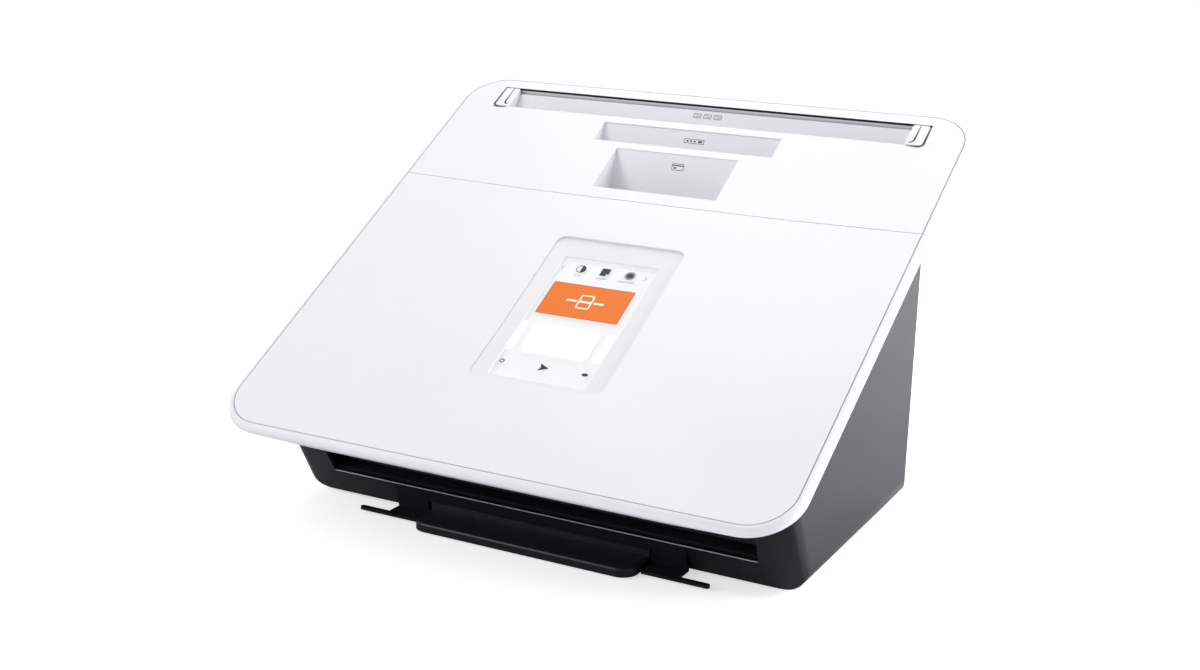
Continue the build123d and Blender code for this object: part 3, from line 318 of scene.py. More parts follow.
@dataclass(frozen=True)
class Rubber(Finish):
    """Ground rubber with a dry bloom.

    Args:
        ribs: Fine ribs per metre, none at zero.
        roughness: Middle of its roughness.
        dust: Spots per metre of the bloom.
        tones: Shades of its colour where the bloom is thin and where it is thick.
        uneven: How far the roughness strays with the bloom.
        relief: Height of its ribs and grain in metres.
    """

    ribs: float = 0.0
    roughness: float = 0.78
    dust: float = 60.0
    tones: Pair = (0.8, 1.35)
    uneven: float = 0.12
    relief: float = 0.00005

    def shader(self, graph: Graph) -> Value:
        """Build the finish's nodes.

        Args:
            graph: The material's graph.

        Returns:
            The shader.
        """
        fine = graph.noise(2600.0, FINE_DETAIL)
        bloom = graph.noise(self.dust, FINE_DETAIL)
        height = fine
        if self.ribs:
            across = graph.value("TexWave", {"bands_direction": "X", "wave_profile": "SAW"},
                                 {"Vector": graph.place(), "Scale": self.ribs,
                                  "Distortion": 0.0}, out=1)
            height = 0.4 * fine + across
        colour = graph.blend(bloom, *(tone(self.code, shade) for shade in self.tones))
        rough = self.roughness + self.uneven * (bloom - 0.5)
        return self.surface(graph, base_color=colour, roughness=rough,
                            normal=graph.bump(height, self.relief), specular_ior_level=0.35)


@dataclass(frozen=True)
class Metal(Finish):
    """Drawn or rolled metal with brush lines and faint stains.

    Args:
        roughness: Middle of its roughness.
        along: Stretch of the brush lines, small in their direction.
        brush: Brush lines per metre.
        relief: Their height in metres.
        stained: Stains per metre.
        tones: Shades of its colour in and between the stains.
        uneven: How far the roughness strays with the brush lines and the stains.
    """

    roughness: float
    along: Triple = (0.05, 1.0, 1.0)
    brush: float = 2400.0
    relief: float = 0.000012
    stained: float = 45.0
    tones: Pair = (0.82, 1.05)
    uneven: Pair = (0.16, 0.12)

    def shader(self, graph: Graph) -> Value:
        """Build the finish's nodes.

        Args:
            graph: The material's graph.

        Returns:
            The shader.
        """
        brushed = graph.noise(self.brush, FINE_DETAIL, self.along)
        stains = graph.noise(self.stained, FINE_DETAIL)
        colour = graph.blend(stains, *(tone(self.code, shade) for shade in self.tones))
        with_brush, with_stains = self.uneven
        rough = self.roughness + with_brush * (brushed - 0.5) + with_stains * (stains - 0.5)
        return self.surface(graph, base_color=colour, metallic=1.0, roughness=rough,
                            normal=graph.bump(brushed, self.relief))


@dataclass(frozen=True)
class Lacquer(Finish):
    """Lacquered circuit board with tracks, pads and dark chips.

    Args:
        track_code: Colour of the tracks.
        pad_code: Colour of the pads.
        chip_code: Colour of the parts that stand on the board.
        chips_above: World height in metres where these parts start.
        tracks: Fields between the tracks per metre.
        track: Width of a track beside such a field.
        pads: Pads per metre.
        pad: Size of a pad beside the space that it has.
        relief: Height of tracks and pads in metres.
        roughness: Roughness of the lacquer.
        duller: How much rougher pads and chips are.
    """

    track_code: str = "3E8A52"
    pad_code: str = "C9A45A"
    chip_code: str = "17181A"
    chips_above: float = 1.0
    tracks: float = 180.0
    track: float = 0.12
    pads: float = 240.0
    pad: float = 0.16
    relief: float = 0.00003
    roughness: float = 0.3
    duller: Pair = (0.2, 0.15)

    def shader(self, graph: Graph) -> Value:
        """Build the finish's nodes.

        Args:
            graph: The material's graph.

        Returns:
            The shader.
        """
        at = graph.place()
        edge = graph.value("TexVoronoi", {"feature": "DISTANCE_TO_EDGE", "distance": "EUCLIDEAN"},
                           {"Vector": at, "Scale": self.tracks, "Randomness": 0.35})
        dots = graph.value("TexVoronoi", {"feature": "F1"},
                           {"Vector": at, "Scale": self.pads, "Randomness": 0.2})
        track = edge < self.track
        pad = dots < self.pad
        chip = graph.coordinate("Z", at) > self.chips_above
        colour = graph.blend(graph.noise(90.0), tone(self.code, 0.85), tone(self.code, 1.15))
        for share, code in ((track, self.track_code), (pad, self.pad_code), (chip, self.chip_code)):
            colour = graph.blend(share, colour, tone(code))
        rough = self.roughness + self.duller[0] * pad + self.duller[1] * chip
        return self.surface(graph, base_color=colour, roughness=rough,
                            normal=graph.bump(track + pad, self.relief))


@dataclass(frozen=True)
class ClearGlass(Finish):
    """Clear cover glass with faint finger marks.

    Args:
        alpha: How far it hides what lies behind it.
        roughness: Lowest of its roughness.
        smeared: How far finger marks raise it.
    """

    alpha: float
    roughness: float = 0.04
    smeared: float = 0.1

    def shader(self, graph: Graph) -> Value:
        """Build the finish's nodes.

        Args:
            graph: The material's graph.

        Returns:
            The shader.
        """
        marks = graph.noise(70.0, FINE_DETAIL)
        return self.surface(graph, base_color=tone(self.code),
                            roughness=self.roughness + self.smeared * marks, alpha=self.alpha)


@dataclass(frozen=True)
class LitDisplay(Finish):
    """Lit display with a faint grid of picture cells.

    Args:
        glow: Share of its colour that it gives off as light.
        cell: Size of a picture cell in metres.
        dimmest: Brightness of the dimmest cell beside the brightest.
        roughness: Lowest of its roughness.
        hazed: How far haze raises it.
    """

    glow: float = 0.6
    cell: float = 0.0004
    dimmest: float = 0.97
    roughness: float = 0.35
    hazed: float = 0.1

    def shader(self, graph: Graph) -> Value:
        """Build the finish's nodes.

        Args:
            graph: The material's graph.

        Returns:
            The shader.
        """
        cells = graph.value("TexChecker", None,
                            {"Vector": graph.place(), "Scale": 1 / self.cell}, out=1)
        haze = graph.noise(30.0)
        share = 0.5 * cells + 0.5 * haze
        light = graph.blend(share, tone(self.code, self.dimmest), tone(self.code))
        unlit = 1 - self.glow
        ground = graph.blend(share, tone(self.code, self.dimmest * unlit), tone(self.code, unlit))
        return self.surface(graph, base_color=ground, roughness=self.roughness + self.hazed * haze,
                            emission_color=light, emission_strength=self.glow,
                            specular_ior_level=0.3)


WHITE_SHELL = Moulding("white_shell", "F3F3F6", 0.34, Grain.SATIN, 0.012, 0.12)
WHITE_SURROUND = Moulding("white_surround", "EFEFF3", 0.4, Grain.SATIN, 0.012)
WHITE_CHUTE = Moulding("white_chute", "FAF9FF", 0.5, Grain.MATT, 0.01)
WHITE_GUIDE = Moulding("white_guide", "F4F4F6", 0.36, Grain.SATIN, 0.015)
CHARCOAL_SHELL = Moulding("charcoal_shell", "1B1C20", 0.34, Grain.SPARKED, 0.05)
BLACK_TRAY = Moulding("black_tray", "121319", 0.4, Grain.SPARKED, 0.08)
CHARCOAL_LIP = Moulding("charcoal_lip", "202127", 0.36, Grain.SPARKED, 0.06)
BLACK_INNER = Moulding("black_inner", "2C2C3A", 0.5, Grain.MATT, 0.08)
SLATE_GUIDE = Moulding("slate_guide", "44444F", 0.42, Grain.SATIN, 0.06)
DARK_CHASSIS = Moulding("dark_chassis", "26272A", 0.55, Grain.MATT, 0.06)
MODULE_SHELL = Moulding("module_shell", "1F2023", 0.5, Grain.MATT, 0.05)
ACETAL = Moulding("acetal", "E4DFCF", 0.42, Grain.POLISHED, 0.03)
FOOT_RUBBER = Rubber("foot_rubber", "2A2A2B")
TYRE_RUBBER = Rubber("tyre_rubber", "3A3B3D", 160.0)
BELT_RUBBER = Rubber("belt_rubber", "1E1E1F", 220.0)
PAD_RUBBER = Rubber("pad_rubber", "5A3B2C")
DRAWN_STEEL = Metal("drawn_steel", "C4C6C8", 0.28)
SHEET_STEEL = Metal("sheet_steel", "B4B7B9", 0.38, (1.0, 0.08, 1.0))
SCREW_STEEL = Metal("screw_steel", "5B5D60", 0.36, (1.0, 1.0, 1.0))
TURNED_BRASS = Metal("turned_brass", "C79F54", 0.3, (0.1, 1.0, 1.0))
SOCKET_STEEL = Metal("socket_steel", "9C9EA1", 0.32, (1.0, 0.1, 1.0))
DISPLAY_BOARD = Lacquer("display_board", "14502E")
MAIN_BOARD = Lacquer("main_board", "14502E", chips_above=0.0229)
SCAN_GLASS = ClearGlass("scan_glass", "DDEBE6", 0.3)
TOUCH_GLASS = ClearGlass("touch_glass", "FFFFFF", 0.1)
DISPLAY = LitDisplay("display_white", "FAFAFC")
SCREEN_CARD = LitDisplay("screen_card", "FFFFFF", 0.75)
SCREEN_BUTTON = LitDisplay("screen_button", "F07608", 0.8)
SCREEN_RIM = LitDisplay("screen_rim", "A04A14")
SCREEN_DARK = LitDisplay("screen_dark", "2A2C33")
SCREEN_GREY = LitDisplay("screen_grey", "B4B7C0")
# Dark of painted shade in the slot's slit and in the guides' gaps and grips.
SLIT_SHADE = Moulding("slit_shade", "24252C", 0.6, Grain.MATT, 0.05)
# Light grey of a painted highlight along the exit's edge.
EDGE_HIGHLIGHT = Moulding("edge_highlight", "B9B9C2", 0.3, Grain.SATIN, 0.04)
# Grey of painted shade in the groove inside the panel's edge.
GROOVE_SHADE = Moulding("groove_shade", "B4B4BE", 0.5, Grain.MATT, 0.04)
SLOT_INK = Moulding("slot_ink", "5C5E66", 0.55, Grain.MATT)


# The panel's own directions

@dataclass(frozen=True)
class PanelFrame:
    """Places on the sloping panel: u across, v up the slope, n out of it, in millimetres.

    Args:
        front: World Y of the panel's front edge.
        height: World Z of the panel's front edge.
        slope: Slope in degrees.
    """

    front: float = -117.211
    height: float = 49.3
    slope: float = 30.0

    def turned(self, u: float = 0.0, v: float = 0.0, n: float = 0.0, tilt: float = 0.0) -> Matrix:
        """Matrix that puts a flat drawing on the panel.

        Args:
            u: Place across.
            v: Place up the slope.
            n: Height over the rim's plane.
            tilt: Degrees that the drawing leans more than the panel.

        Returns:
            Matrix from the drawing's millimetres to the world's metres.
        """
        rise = math.radians(self.slope)
        origin = Vector((u, self.front + v * math.cos(rise) - n * math.sin(rise),
                         self.height + v * math.sin(rise) + n * math.cos(rise)))
        lean = Matrix.Rotation(math.radians(self.slope + tilt), 4, "X")
        return Matrix.Scale(MM, 4) @ Matrix.Translation(origin) @ lean


PANEL = PanelFrame()


# Flat drawings as thin meshes

class Drawing:
    """Thin plates drawn in millimetres and joined in one mesh.

    Args:
        low: Height of the plates' underside.
        high: Height of their top.
    """

    def __init__(self, low: float, high: float) -> None:
        """Start an empty mesh."""
        self.low = low
        self.high = high
        self.mesh = bmesh.new()

    def plate(self, outline: Outline) -> "Drawing":
        """Add a plate.

        Args:
            outline: Its outline, walked anticlockwise.

        Returns:
            The drawing.
        """
        low = [self.mesh.verts.new((x, y, self.low)) for x, y in outline]
        high = [self.mesh.verts.new((x, y, self.high)) for x, y in outline]
        self.mesh.faces.new(high)
        self.mesh.faces.new(low[::-1])
        for i in range(len(outline)):
            j = (i + 1) % len(outline)
            self.mesh.faces.new((low[i], low[j], high[j], high[i]))
        return self

    def sides(self, outer: Outline, inner: Outline, count: int) -> list[list[bmesh.types.BMVert]]:
        """Add the top, the underside and both edges of the space between two lines.

        Args:
            outer: One line.
            inner: The other line, with as many points.
            count: Number of faces along each side.

        Returns:
            Four rows of points, one for each of its corners.
        """
        rows = [[self.mesh.verts.new((x, y, z)) for x, y in line]
                for line, z in ((outer, self.low), (outer, self.high), (inner, self.high),
                                (inner, self.low))]
        for first, second in zip(rows, rows[1:] + rows[:1]):
            for i in range(count):
                j = (i + 1) % len(outer)
                self.mesh.faces.new((first[i], first[j], second[j], second[i]))
        return rows

    def band(self, outer: Outline, inner: Outline) -> "Drawing":
        """Add a closed band between two outlines with as many points."""
        self.sides(outer, inner, len(outer))
        return self

    def strip(self, outer: Outline, inner: Outline) -> "Drawing":
        """Add an open strip between two lines.

        Args:
            outer: One line.
            inner: The other line, with as many points.

        Returns:
            The drawing.
        """
        rows = self.sides(outer, inner, len(outer) - 1)
        self.mesh.faces.new([row[0] for row in rows])
        self.mesh.faces.new([row[-1] for row in rows[::-1]])
        return self

    def bar(self, x0: float, x1: float, y0: float, y1: float) -> "Drawing":
        """Add an upright bar between two corners."""
        return self.plate([(x0, y0), (x1, y0), (x1, y1), (x0, y1)])

    def object(self, name: str, to_world: Matrix) -> bpy.types.Object:
        """Turn the drawing into an object.

        Args:
            name: The object's name.
            to_world: Matrix that places it in the world.

        Returns:
            The object.
        """
        bmesh.ops.recalc_face_normals(self.mesh, faces=self.mesh.faces)
        self.mesh.transform(to_world)
        return mesh_object(name, self.mesh)


def circle(x: float, y: float, radius: float, start: float = 0.0, turn: float = 360.0,
           steps: int = 40) -> Outline:
    """Points of a circle or of a part of one.

    Args:
        x: Place of its middle across.
        y: Place of its middle upwards.
        radius: Its radius.
        start: Angle of the first point in degrees.
        turn: Angle that the points cover, negative when they run clockwise.
        steps: Number of chords.

    Returns:
        The points.
    """
    count = steps if turn == 360.0 else steps + 1
    return [(x + radius * math.cos(math.radians(start + turn * i / steps)),
             y + radius * math.sin(math.radians(start + turn * i / steps))) for i in range(count)]


def rounded(width: float, height: float, radius: float, x: float = 0.0) -> Outline:
    """Outline of a rounded rectangle.

    Args:
        width: Its width.
        height: Its height.
        radius: Radius of its corners.
        x: Place of its middle across.

    Returns:
        The points, anticlockwise.
    """
    points: Outline = []
    for cx, cy, start in ((1, 1, 0), (-1, 1, 90), (-1, -1, 180), (1, -1, 270)):
        points += circle(x + cx * (width / 2 - radius), cy * (height / 2 - radius), radius,
                         start, turn=90.0, steps=8)
    return points


def mesh_object(name: str, mesh: bmesh.types.BMesh) -> bpy.types.Object:
    """Make an object.

    Args:
        name: Its name.
        mesh: Its mesh, placed in the world already.

    Returns:
        The object.
    """
    data = bpy.data.meshes.new(name)
    mesh.to_mesh(data)
    mesh.free()
    made = bpy.data.objects.new(name, data)
    bpy.context.scene.collection.objects.link(made)
    return made


def add_piece(made: bpy.types.Object, body: str, finish: Finish) -> None:
    """Dress a new piece and let it ride.

    Args:
        made: The object, in place.
        body: The CAD body that it moves with.
        finish: Its finish.
    """
    made.data.materials.append(finish.material())
    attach(made, body)
    log.info("piece %s on %s in %s", made.name, body, finish.name)


# Sub-assemblies

@dataclass
class Dressing:
    """A group of CAD nodes with their finishes.

    Args:
        finishes: Finish of each node.
        edge: Width in millimetres that sharp edges are rounded by.
        weld: Distance in metres within which points are joined first.
        sharp: Angle in degrees from which an edge is sharp.
    """

    finishes: dict[str, Finish]
    edge: float = 0.25
    weld: float = 0.00001
    sharp: float = 40.0

    def build(self) -> None:
        """Give each node its material and its soft edges."""
        for name, finish in self.finishes.items():
            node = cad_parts[name]
            for place in node.material_slots:
                place.material = finish.material()
            self.soften(node)
            log.info("node %s in %s", name, finish.name)

    def soften(self, node: bpy.types.Object) -> None:
        """Round the sharp edges.

        Args:
            node: The node's object.
        """
        weld = node.modifiers.new("weld", "WELD")
        weld.merge_threshold = self.weld
        bevel = node.modifiers.new("edges", "BEVEL")
        bevel.width = self.edge * MM
        bevel.segments = 2
        bevel.limit_method = "ANGLE"
        bevel.angle_limit = math.radians(self.sharp)
        bevel.harden_normals = False
        bevel.use_clamp_overlap = True
        normals = node.modifiers.new("normals", "WEIGHTED_NORMAL")
        normals.keep_sharp = False


@dataclass
class ScreenPicture:
    """Lit picture on the touch screen: an icon row, the start button, a card and three keys.

    Args:
        glass_top: Level of the glass below the panel's rim.
        across: Place of the picture's middle across the panel.
        ink: Levels (low, high) of the drawn parts over the glass.
        icon_row: Place of the icons up the slope.
        icon_places: Places of the three icons across.
        outline: Width of the lines of the icons' rings.
        caption_row: Place of the dashes under the icons.
        captions_at: Spans (start, end) of each icon's dashes about its middle.
        chevron: Places (tip, back) of the right arrow and half its height.
        chevron_row: Place of the arrows up the slope.
        button_low: Lower edge of the start button.
        button_high: Its upper edge.
        button_half: Half its width.
        button_levels: Levels that part the glass, its rim, its face and its mark.
        card_middle: Place of the card's middle up the slope.
        card_width: Width of the card.
        card_height: Its height.
        neighbour: Place and width of the end that a neighbouring card shows.
        key_row: Place of the keys up the slope.
        key_places: Places of the three keys across.
    """

    glass_top: float = -4.2
    across: float = -1.2
    ink: Pair = (0.01, 0.05)
    icon_row: float = 132.5
    icon_places: Triple = (-12.0, 0.6, 13.4)
    outline: float = 0.4
    caption_row: float = 128.0
    captions_at: tuple[tuple[Pair, ...], ...] = (((-1.8, -0.4), (0.0, 1.6)), ((-2.8, 2.6),),
                                                 ((-4.2, 0.4), (0.9, 3.8)))
    chevron: Triple = (22.4, 21.2, 1.6)
    chevron_row: float = 131.9
    button_low: float = 101.1
    button_high: float = 122.1
    button_half: float = 20.7
    button_levels: tuple[float, ...] = (0.005, 0.03, 0.06, 0.09)
    card_middle: float = 85.0
    card_width: float = 34.0
    card_height: float = 19.0
    neighbour: Pair = (22.2, 4.0)
    key_row: float = 68.3
    key_places: Triple = (-21.3, 0.0, 20.5)

    def build(self) -> None:
        """Make all parts of the picture."""
        self.icons()
        self.captions()
        self.chevrons()
        self.button()
        self.card()
        self.keys()

    def put(self, name: str, drawing: Drawing, u: float, v: float, finish: Finish) -> None:
        """Lay a drawing on the glass."""
        made = drawing.object("screen_" + name, PANEL.turned(u + self.across, v, self.glass_top))
        add_piece(made, "front_cover", finish)

    def icons(self) -> None:
        """Icons of a half-filled circle, a page and a disc."""
        half = Drawing(*self.ink).band(circle(0, 0, 2.5), circle(0, 0, 2.5 - self.outline))
        half.plate(circle(0, 0, 2.5 - self.outline, start=-90.0, turn=180.0))
        page = Drawing(*self.ink).plate([(-2.2, -2.5), (0.9, -2.5), (0.9, -1.2), (2.2, -1.2),
                                         (2.2, 2.5), (-2.2, 2.5)])
        disc = Drawing(*self.ink).band(circle(0, 0, 2.6), circle(0, 0, 2.6 - self.outline))
        disc.plate(circle(0, 0, 1.9))
        for name, icon, u in zip(("contrast", "page", "disc"), (half, page, disc), self.icon_places):
            self.put(name, icon, u, self.icon_row, SCREEN_DARK)

    def captions(self) -> None:
        """Short grey dashes under the icons."""
        dashes = Drawing(*self.ink)
        half = 0.3
        for middle, spans in zip(self.icon_places, self.captions_at):
            for start, end in spans:
                dashes.bar(middle + start, middle + end, -half, half)
        self.put("captions", dashes, 0.0, self.caption_row, SCREEN_GREY)

    def chevrons(self) -> None:
        """Pale arrows at both ends of the icon row."""
        arrows = Drawing(*self.ink)
        tip, back, half = self.chevron
        for side in (-1, 1):
            for end in (-half, half):
                points = [(side * tip, 0.0), (side * back, end), (side * (back - 0.5), end),
                          (side * (tip - 0.6), 0.0)]
                arrows.plate(points if side * end < 0 else points[::-1])
        self.put("chevrons", arrows, 0.0, self.chevron_row, SCREEN_GREY)

    def button(self) -> None:
        """Orange start button with a page under a scan line."""
        middle = (self.button_low + self.button_high) / 2
        width, height = 2 * self.button_half, self.button_high - self.button_low
        ground, rim, face, mark = self.button_levels
        border = 0.5
        under = Drawing(ground, rim).plate(rounded(width + border, height + border, 0.5))
        over = Drawing(rim, face).plate(rounded(width, height, 0.4))
        page = Drawing(face, mark).band(rounded(7.0, 9.0, 0.8), rounded(5.6, 7.6, 0.3))
        for x0, x1 in ((-9.5, -4.4), (4.4, 9.5), (-2.8, 2.8)):
            page.bar(x0, x1, -0.6, 0.6)
        for name, drawing, finish in (("button_rim", under, SCREEN_RIM),
                                      ("button", over, SCREEN_BUTTON),
                                      ("button_mark", page, SCREEN_CARD)):
            self.put(name, drawing, 0.0, middle, finish)

    def card(self) -> None:
        """Bare white card with the ends of its neighbours."""
        card = Drawing(*self.ink).plate(rounded(self.card_width, self.card_height, 3.0))
        place, width = self.neighbour
        for side in (-1, 1):
            card.plate(rounded(width, self.card_height, 0.8, side * place))
        self.put("card", card, 0.0, self.card_middle, SCREEN_CARD)

    def keys(self) -> None:
        """Ring, arrow and dot under the picture."""
        ring = Drawing(*self.ink).band(circle(0, 0, 1.2), circle(0, 0, 0.7))
        arrow = Drawing(*self.ink).plate([(-2.4, -2.2), (2.6, 0.0), (-2.4, 2.2), (-1.4, 0.0)])
        dot = Drawing(*self.ink).plate([(1.6 * x, 0.9 * y) for x, y in circle(0, 0, 1.0)])
        for name, key, u in zip(("ring", "arrow", "dot"), (ring, arrow, dot), self.key_places):
            self.put("key_" + name, key, u, self.key_row, SCREEN_DARK)


@dataclass
class SlotMark:
    """Small printed sign on a chute's floor.

    Args:
        name: The sign's name.
        start: Place (v, n) of the floor's upper edge on the panel.
        slope: Degrees that the floor falls from the panel.
        u: Place across.
        v: Place up the slope.
    """

    name: str
    start: Pair
    slope: float
    u: float
    v: float

    def build(self, drawing: Drawing) -> None:
        """Lay the sign on the floor.

        Args:
            drawing: The sign's drawing.
        """
        v, n = self.start
        n -= (v - self.v) * math.tan(math.radians(self.slope))
        made = drawing.object("mark_" + self.name, PANEL.turned(self.u, self.v, n, self.slope))
        add_piece(made, "input_tray", SLOT_INK)


@dataclass
class SlotMarks:
    """Signs of a stack of sheets, a receipt and a card.

    Args:
        line: Width of their outlines.
        ink: Levels (low, high) of the signs over the floor.
    """

    line: float = 0.28
    ink: Pair = (0.0, 0.04)

    def build(self) -> None:
        """Make the three signs."""
        for mark, drawing in (
                (SlotMark("sheets", (255.2, -2.0), slope=28.0, u=1.8, v=252.5), self.sheets()),
                (SlotMark("receipt", (236.7, -1.0), slope=34.0, u=2.6, v=232.5), self.receipt()),
                (SlotMark("card", (217.7, -1.0), slope=40.0, u=1.8, v=213.0), self.card())):
            mark.build(drawing)

    def outline(self, drawing: Drawing, width: float, height: float, x: float = 0.0) -> None:
        """Draw a thin rectangle about x."""
        drawing.band(rounded(width, height, 0.3, x),
                     rounded(width - 2 * self.line, height - 2 * self.line, 0.1, x))

    def sheets(self) -> Drawing:
        """Row of lined pages.

        Returns:
            The drawing.
        """
        drawing = Drawing(*self.ink)
        for x in (-5.6, 0.0, 5.6):
            self.outline(drawing, 4.2, 2.4, x)
            for y in (-0.45, 0.35):
                drawing.bar(x - 1.3, x + 1.3, y, y + 0.2)
        return drawing

    def receipt(self) -> Drawing:
        """Long slip with a row of dashes and a total.

        Returns:
            The drawing.
        """
        drawing = Drawing(*self.ink)
        self.outline(drawing, 11.0, 2.4)
        for x in (-4.2, -2.2, -0.2):
            drawing.bar(x, x + 1.2, -0.4, 0.4)
        drawing.bar(2.2, 4.4, -0.55, 0.55)
        return drawing

    def card(self) -> Drawing:
        """Card with a stripe and a chip.

        Returns:
            The drawing.
        """
        drawing = Drawing(*self.ink)
        self.outline(drawing, 6.4, 3.4)
        drawing.bar(-2.9, 2.9, 0.45, 1.0)
        drawing.bar(-2.2, -0.8, -0.9, -0.1)
        return drawing


@dataclass
class SlotShadeStrips:
    """Dark upper and pale lower strip on the back wall of the long slot; the dark one is painted
    shade where the slit's top edge falls into shadow.

    Args:
        wall: Place of the wall up the slope.
        half: Half the slot's length between the guides' recesses.
        dark: Levels (low, high) of the dark strip of painted shade.
        pale: The same of the pale strip.
        thickness: Thickness of both.
    """

    wall: float = 257.4
    half: float = 117.2
    dark: Pair = (-1.4, -0.12)
    pale: Pair = (-5.2, -1.4)
    thickness: float = 0.12

    def build(self) -> None:
        """Make both strips."""
        # The dark strip is painted shade along the slit's top edge; the pale one is in the chute's
        # white.
        for name, (low, high), finish in (("dark", self.dark, SLIT_SHADE),
                                          ("pale", self.pale, WHITE_CHUTE)):
            drawing = Drawing(0.0, self.thickness).plate(rounded(2 * self.half, high - low, 0.2))
            upright = PANEL.turned(0.0, self.wall, (low + high) / 2, 90.0)
            add_piece(drawing.object("slot_shade_strip_" + name, upright), "input_tray", finish)


@dataclass
class HookedShadeLine:
    """Hooked dark line of painted shade at a guide's tab, drawn at the right and mirrored at the
    left.

    Args:
        name: The line's name.
        body: Body that it rides, with the guide's side filled in.
        u: Place of its upright part across.
        low: Place of its foot up the slope.
        high: Place of its upper end.
        radius: Radius of its bend.
        foot: Distances past the bend of the points on its foot.
        width: Width of the line.
        thickness: Its thickness.
        ends: Share of the width that is left at its ends.
    """

    name: str
    body: str
    u: float
    low: float
    high: float
    radius: float
    foot: tuple[float, ...]
    width: float = 0.95
    thickness: float = 0.03
    ends: float = 0.35

    def path(self) -> Outline:
        """Follow the right line down, round the bend and along the foot.

        Returns:
            Its points.
        """
        u, low, radius = self.u, self.low, self.radius
        bend = circle(u - radius, low + radius, radius, start=-15.0, turn=-60.0, steps=4)
        foot = [(u - radius - reach, low) for reach in self.foot]
        return [(u, self.high), (u, low + radius), *bend, *foot]

    def stroke(self, side: int) -> Drawing:
        """Draw the line, thinner at its ends.

        Args:
            side: 1 at the right and -1 at the left.

        Returns:
            The drawing.
        """
        points = self.path()
        last = len(points) - 1
        outer: Outline = []
        inner: Outline = []
        for i, (x, y) in enumerate(points):
            (ax, ay), (bx, by) = points[max(i - 1, 0)], points[min(i + 1, last)]
            size = math.hypot(bx - ax, by - ay)
            half = self.width / 2 * (self.ends if i in (0, last) else 1.0)
            dx, dy = -(by - ay) / size * half, (bx - ax) / size * half
            outer.append((side * (x + dx), y + dy))
            inner.append((side * (x - dx), y - dy))
        return Drawing(0.0, self.thickness).strip(outer, inner)


@dataclass
class GuideShadeLines:
    """Painted shade: a dark line round each guide's recess for the shade in its gap, and a dark grip
    line on its tab for the shade in a groove.

    Args:
        lines: The lines at one guide.
    """

    # Both lines are painted shade: the gap's shade round the recess and the groove's shade on the
    # tab.
    lines: tuple[HookedShadeLine, ...] = (
        HookedShadeLine("gap", "input_tray", 117.5, 240.7, 257.3, 2.6, (0.2, 5.4)),
        HookedShadeLine("grip", "{side}_guide", 112.2, 243.4, 256.8, 2.2, (0.2,)),
    )

    def build(self) -> None:
        """Make the lines at both guides."""
        for side, name in ((1, "right"), (-1, "left")):
            for line in self.lines:
                made = line.stroke(side).object(f"guide_{line.name}_{name}", PANEL.turned())
                add_piece(made, line.body.format(side=name), SLIT_SHADE)


@dataclass
class GrooveShadeLine:
    """Painted shade: grey line on the floor of the groove inside the panel's edge, darkening the
    groove, parted at the seam.

    Args:
        width: Width of the panel.
        length: Length of the panel up the slope.
        corner: Radius of its upper corners.
        insets: Insets (outer, inner) of the line from the panel's edge.
        seam: Place of the seam up the slope.
        gap: Half the space left free at the seam.
        levels: Levels (low, high) of the line.
    """

    width: float = 279.0
    length: float = 267.0
    corner: float = 23.0
    insets: Pair = (3.05, 3.55)
    seam: float = 180.3
    gap: float = 0.5
    levels: Pair = (-0.5, -0.46)

    def side(self, inset: float, upper: bool) -> Outline:
        """Follow the panel's outline on one side of the seam.

        Args:
            inset: Distance inside the panel's edge.
            upper: Whether it is the side above the seam.

        Returns:
            The points.
        """
        half = self.width / 2 - inset
        radius = self.corner - inset
        if upper:
            middle, ends = self.length - inset - radius, self.seam + self.gap
            turns = ((1, 0.0), (-1, 90.0))
        else:
            middle, ends = inset + radius, self.seam - self.gap
            turns = ((-1, 180.0), (1, 270.0))
        points: Outline = [(turns[0][0] * half, ends)]
        for sign, start in turns:
            points += circle(sign * (half - radius), middle, radius, start, turn=90.0, steps=16)
        return points + [(turns[1][0] * half, ends)]

    def build(self) -> None:
        """Make the line's two parts."""
        for upper, body in ((False, "front_cover"), (True, "input_tray")):
            # The grey line is painted shade in the groove.
            drawing = Drawing(*self.levels).strip(*(self.side(inset, upper) for inset in self.insets))
            made = drawing.object("groove_shade_line_" + body, PANEL.turned())
            add_piece(made, body, GROOVE_SHADE)


@dataclass
class ExitHighlight:
    """Thin light-grey bead along the exit's lower edge, a painted highlight that stands for the glint
    on that edge.

    Args:
        half: Half its length.
        depth: World Y of its middle.
        height: World Z of its middle.
        radius: Its radius.
        taper: Length over which it is drawn in at both ends.
        tip: Share of the radius that is left at its ends.
        sides: Number of flats round it.
    """

    half: float = 107.9
    depth: float = -65.45
    height: float = 15.15
    radius: float = 0.26
    taper: float = 1.0
    tip: float = 0.2
    sides: int = 12

    def build(self) -> None:
        """Make the bead."""
        mesh = bmesh.new()
        rings = []
        for x, share in ((-self.half, self.tip), (-self.half + self.taper, 1.0),
                         (self.half - self.taper, 1.0), (self.half, self.tip)):
            around = circle(self.depth, self.height, share * self.radius, steps=self.sides)
            rings.append([mesh.verts.new((x, y, z)) for y, z in around])
        for low, high in zip(rings, rings[1:]):
            for i in range(self.sides):
                j = (i + 1) % self.sides
                mesh.faces.new((low[i], low[j], high[j], high[i]))
        mesh.faces.new(rings[0])
        mesh.faces.new(rings[-1][::-1])
        bmesh.ops.recalc_face_normals(mesh, faces=mesh.faces)
        mesh.transform(Matrix.Scale(MM, 4))
        made = mesh_object("exit_highlight", mesh)
        for face in made.data.polygons:
            face.use_smooth = True
        # The light grey bead is a painted highlight on the dark edge.
        add_piece(made, "base", EDGE_HIGHLIGHT)


# Studio

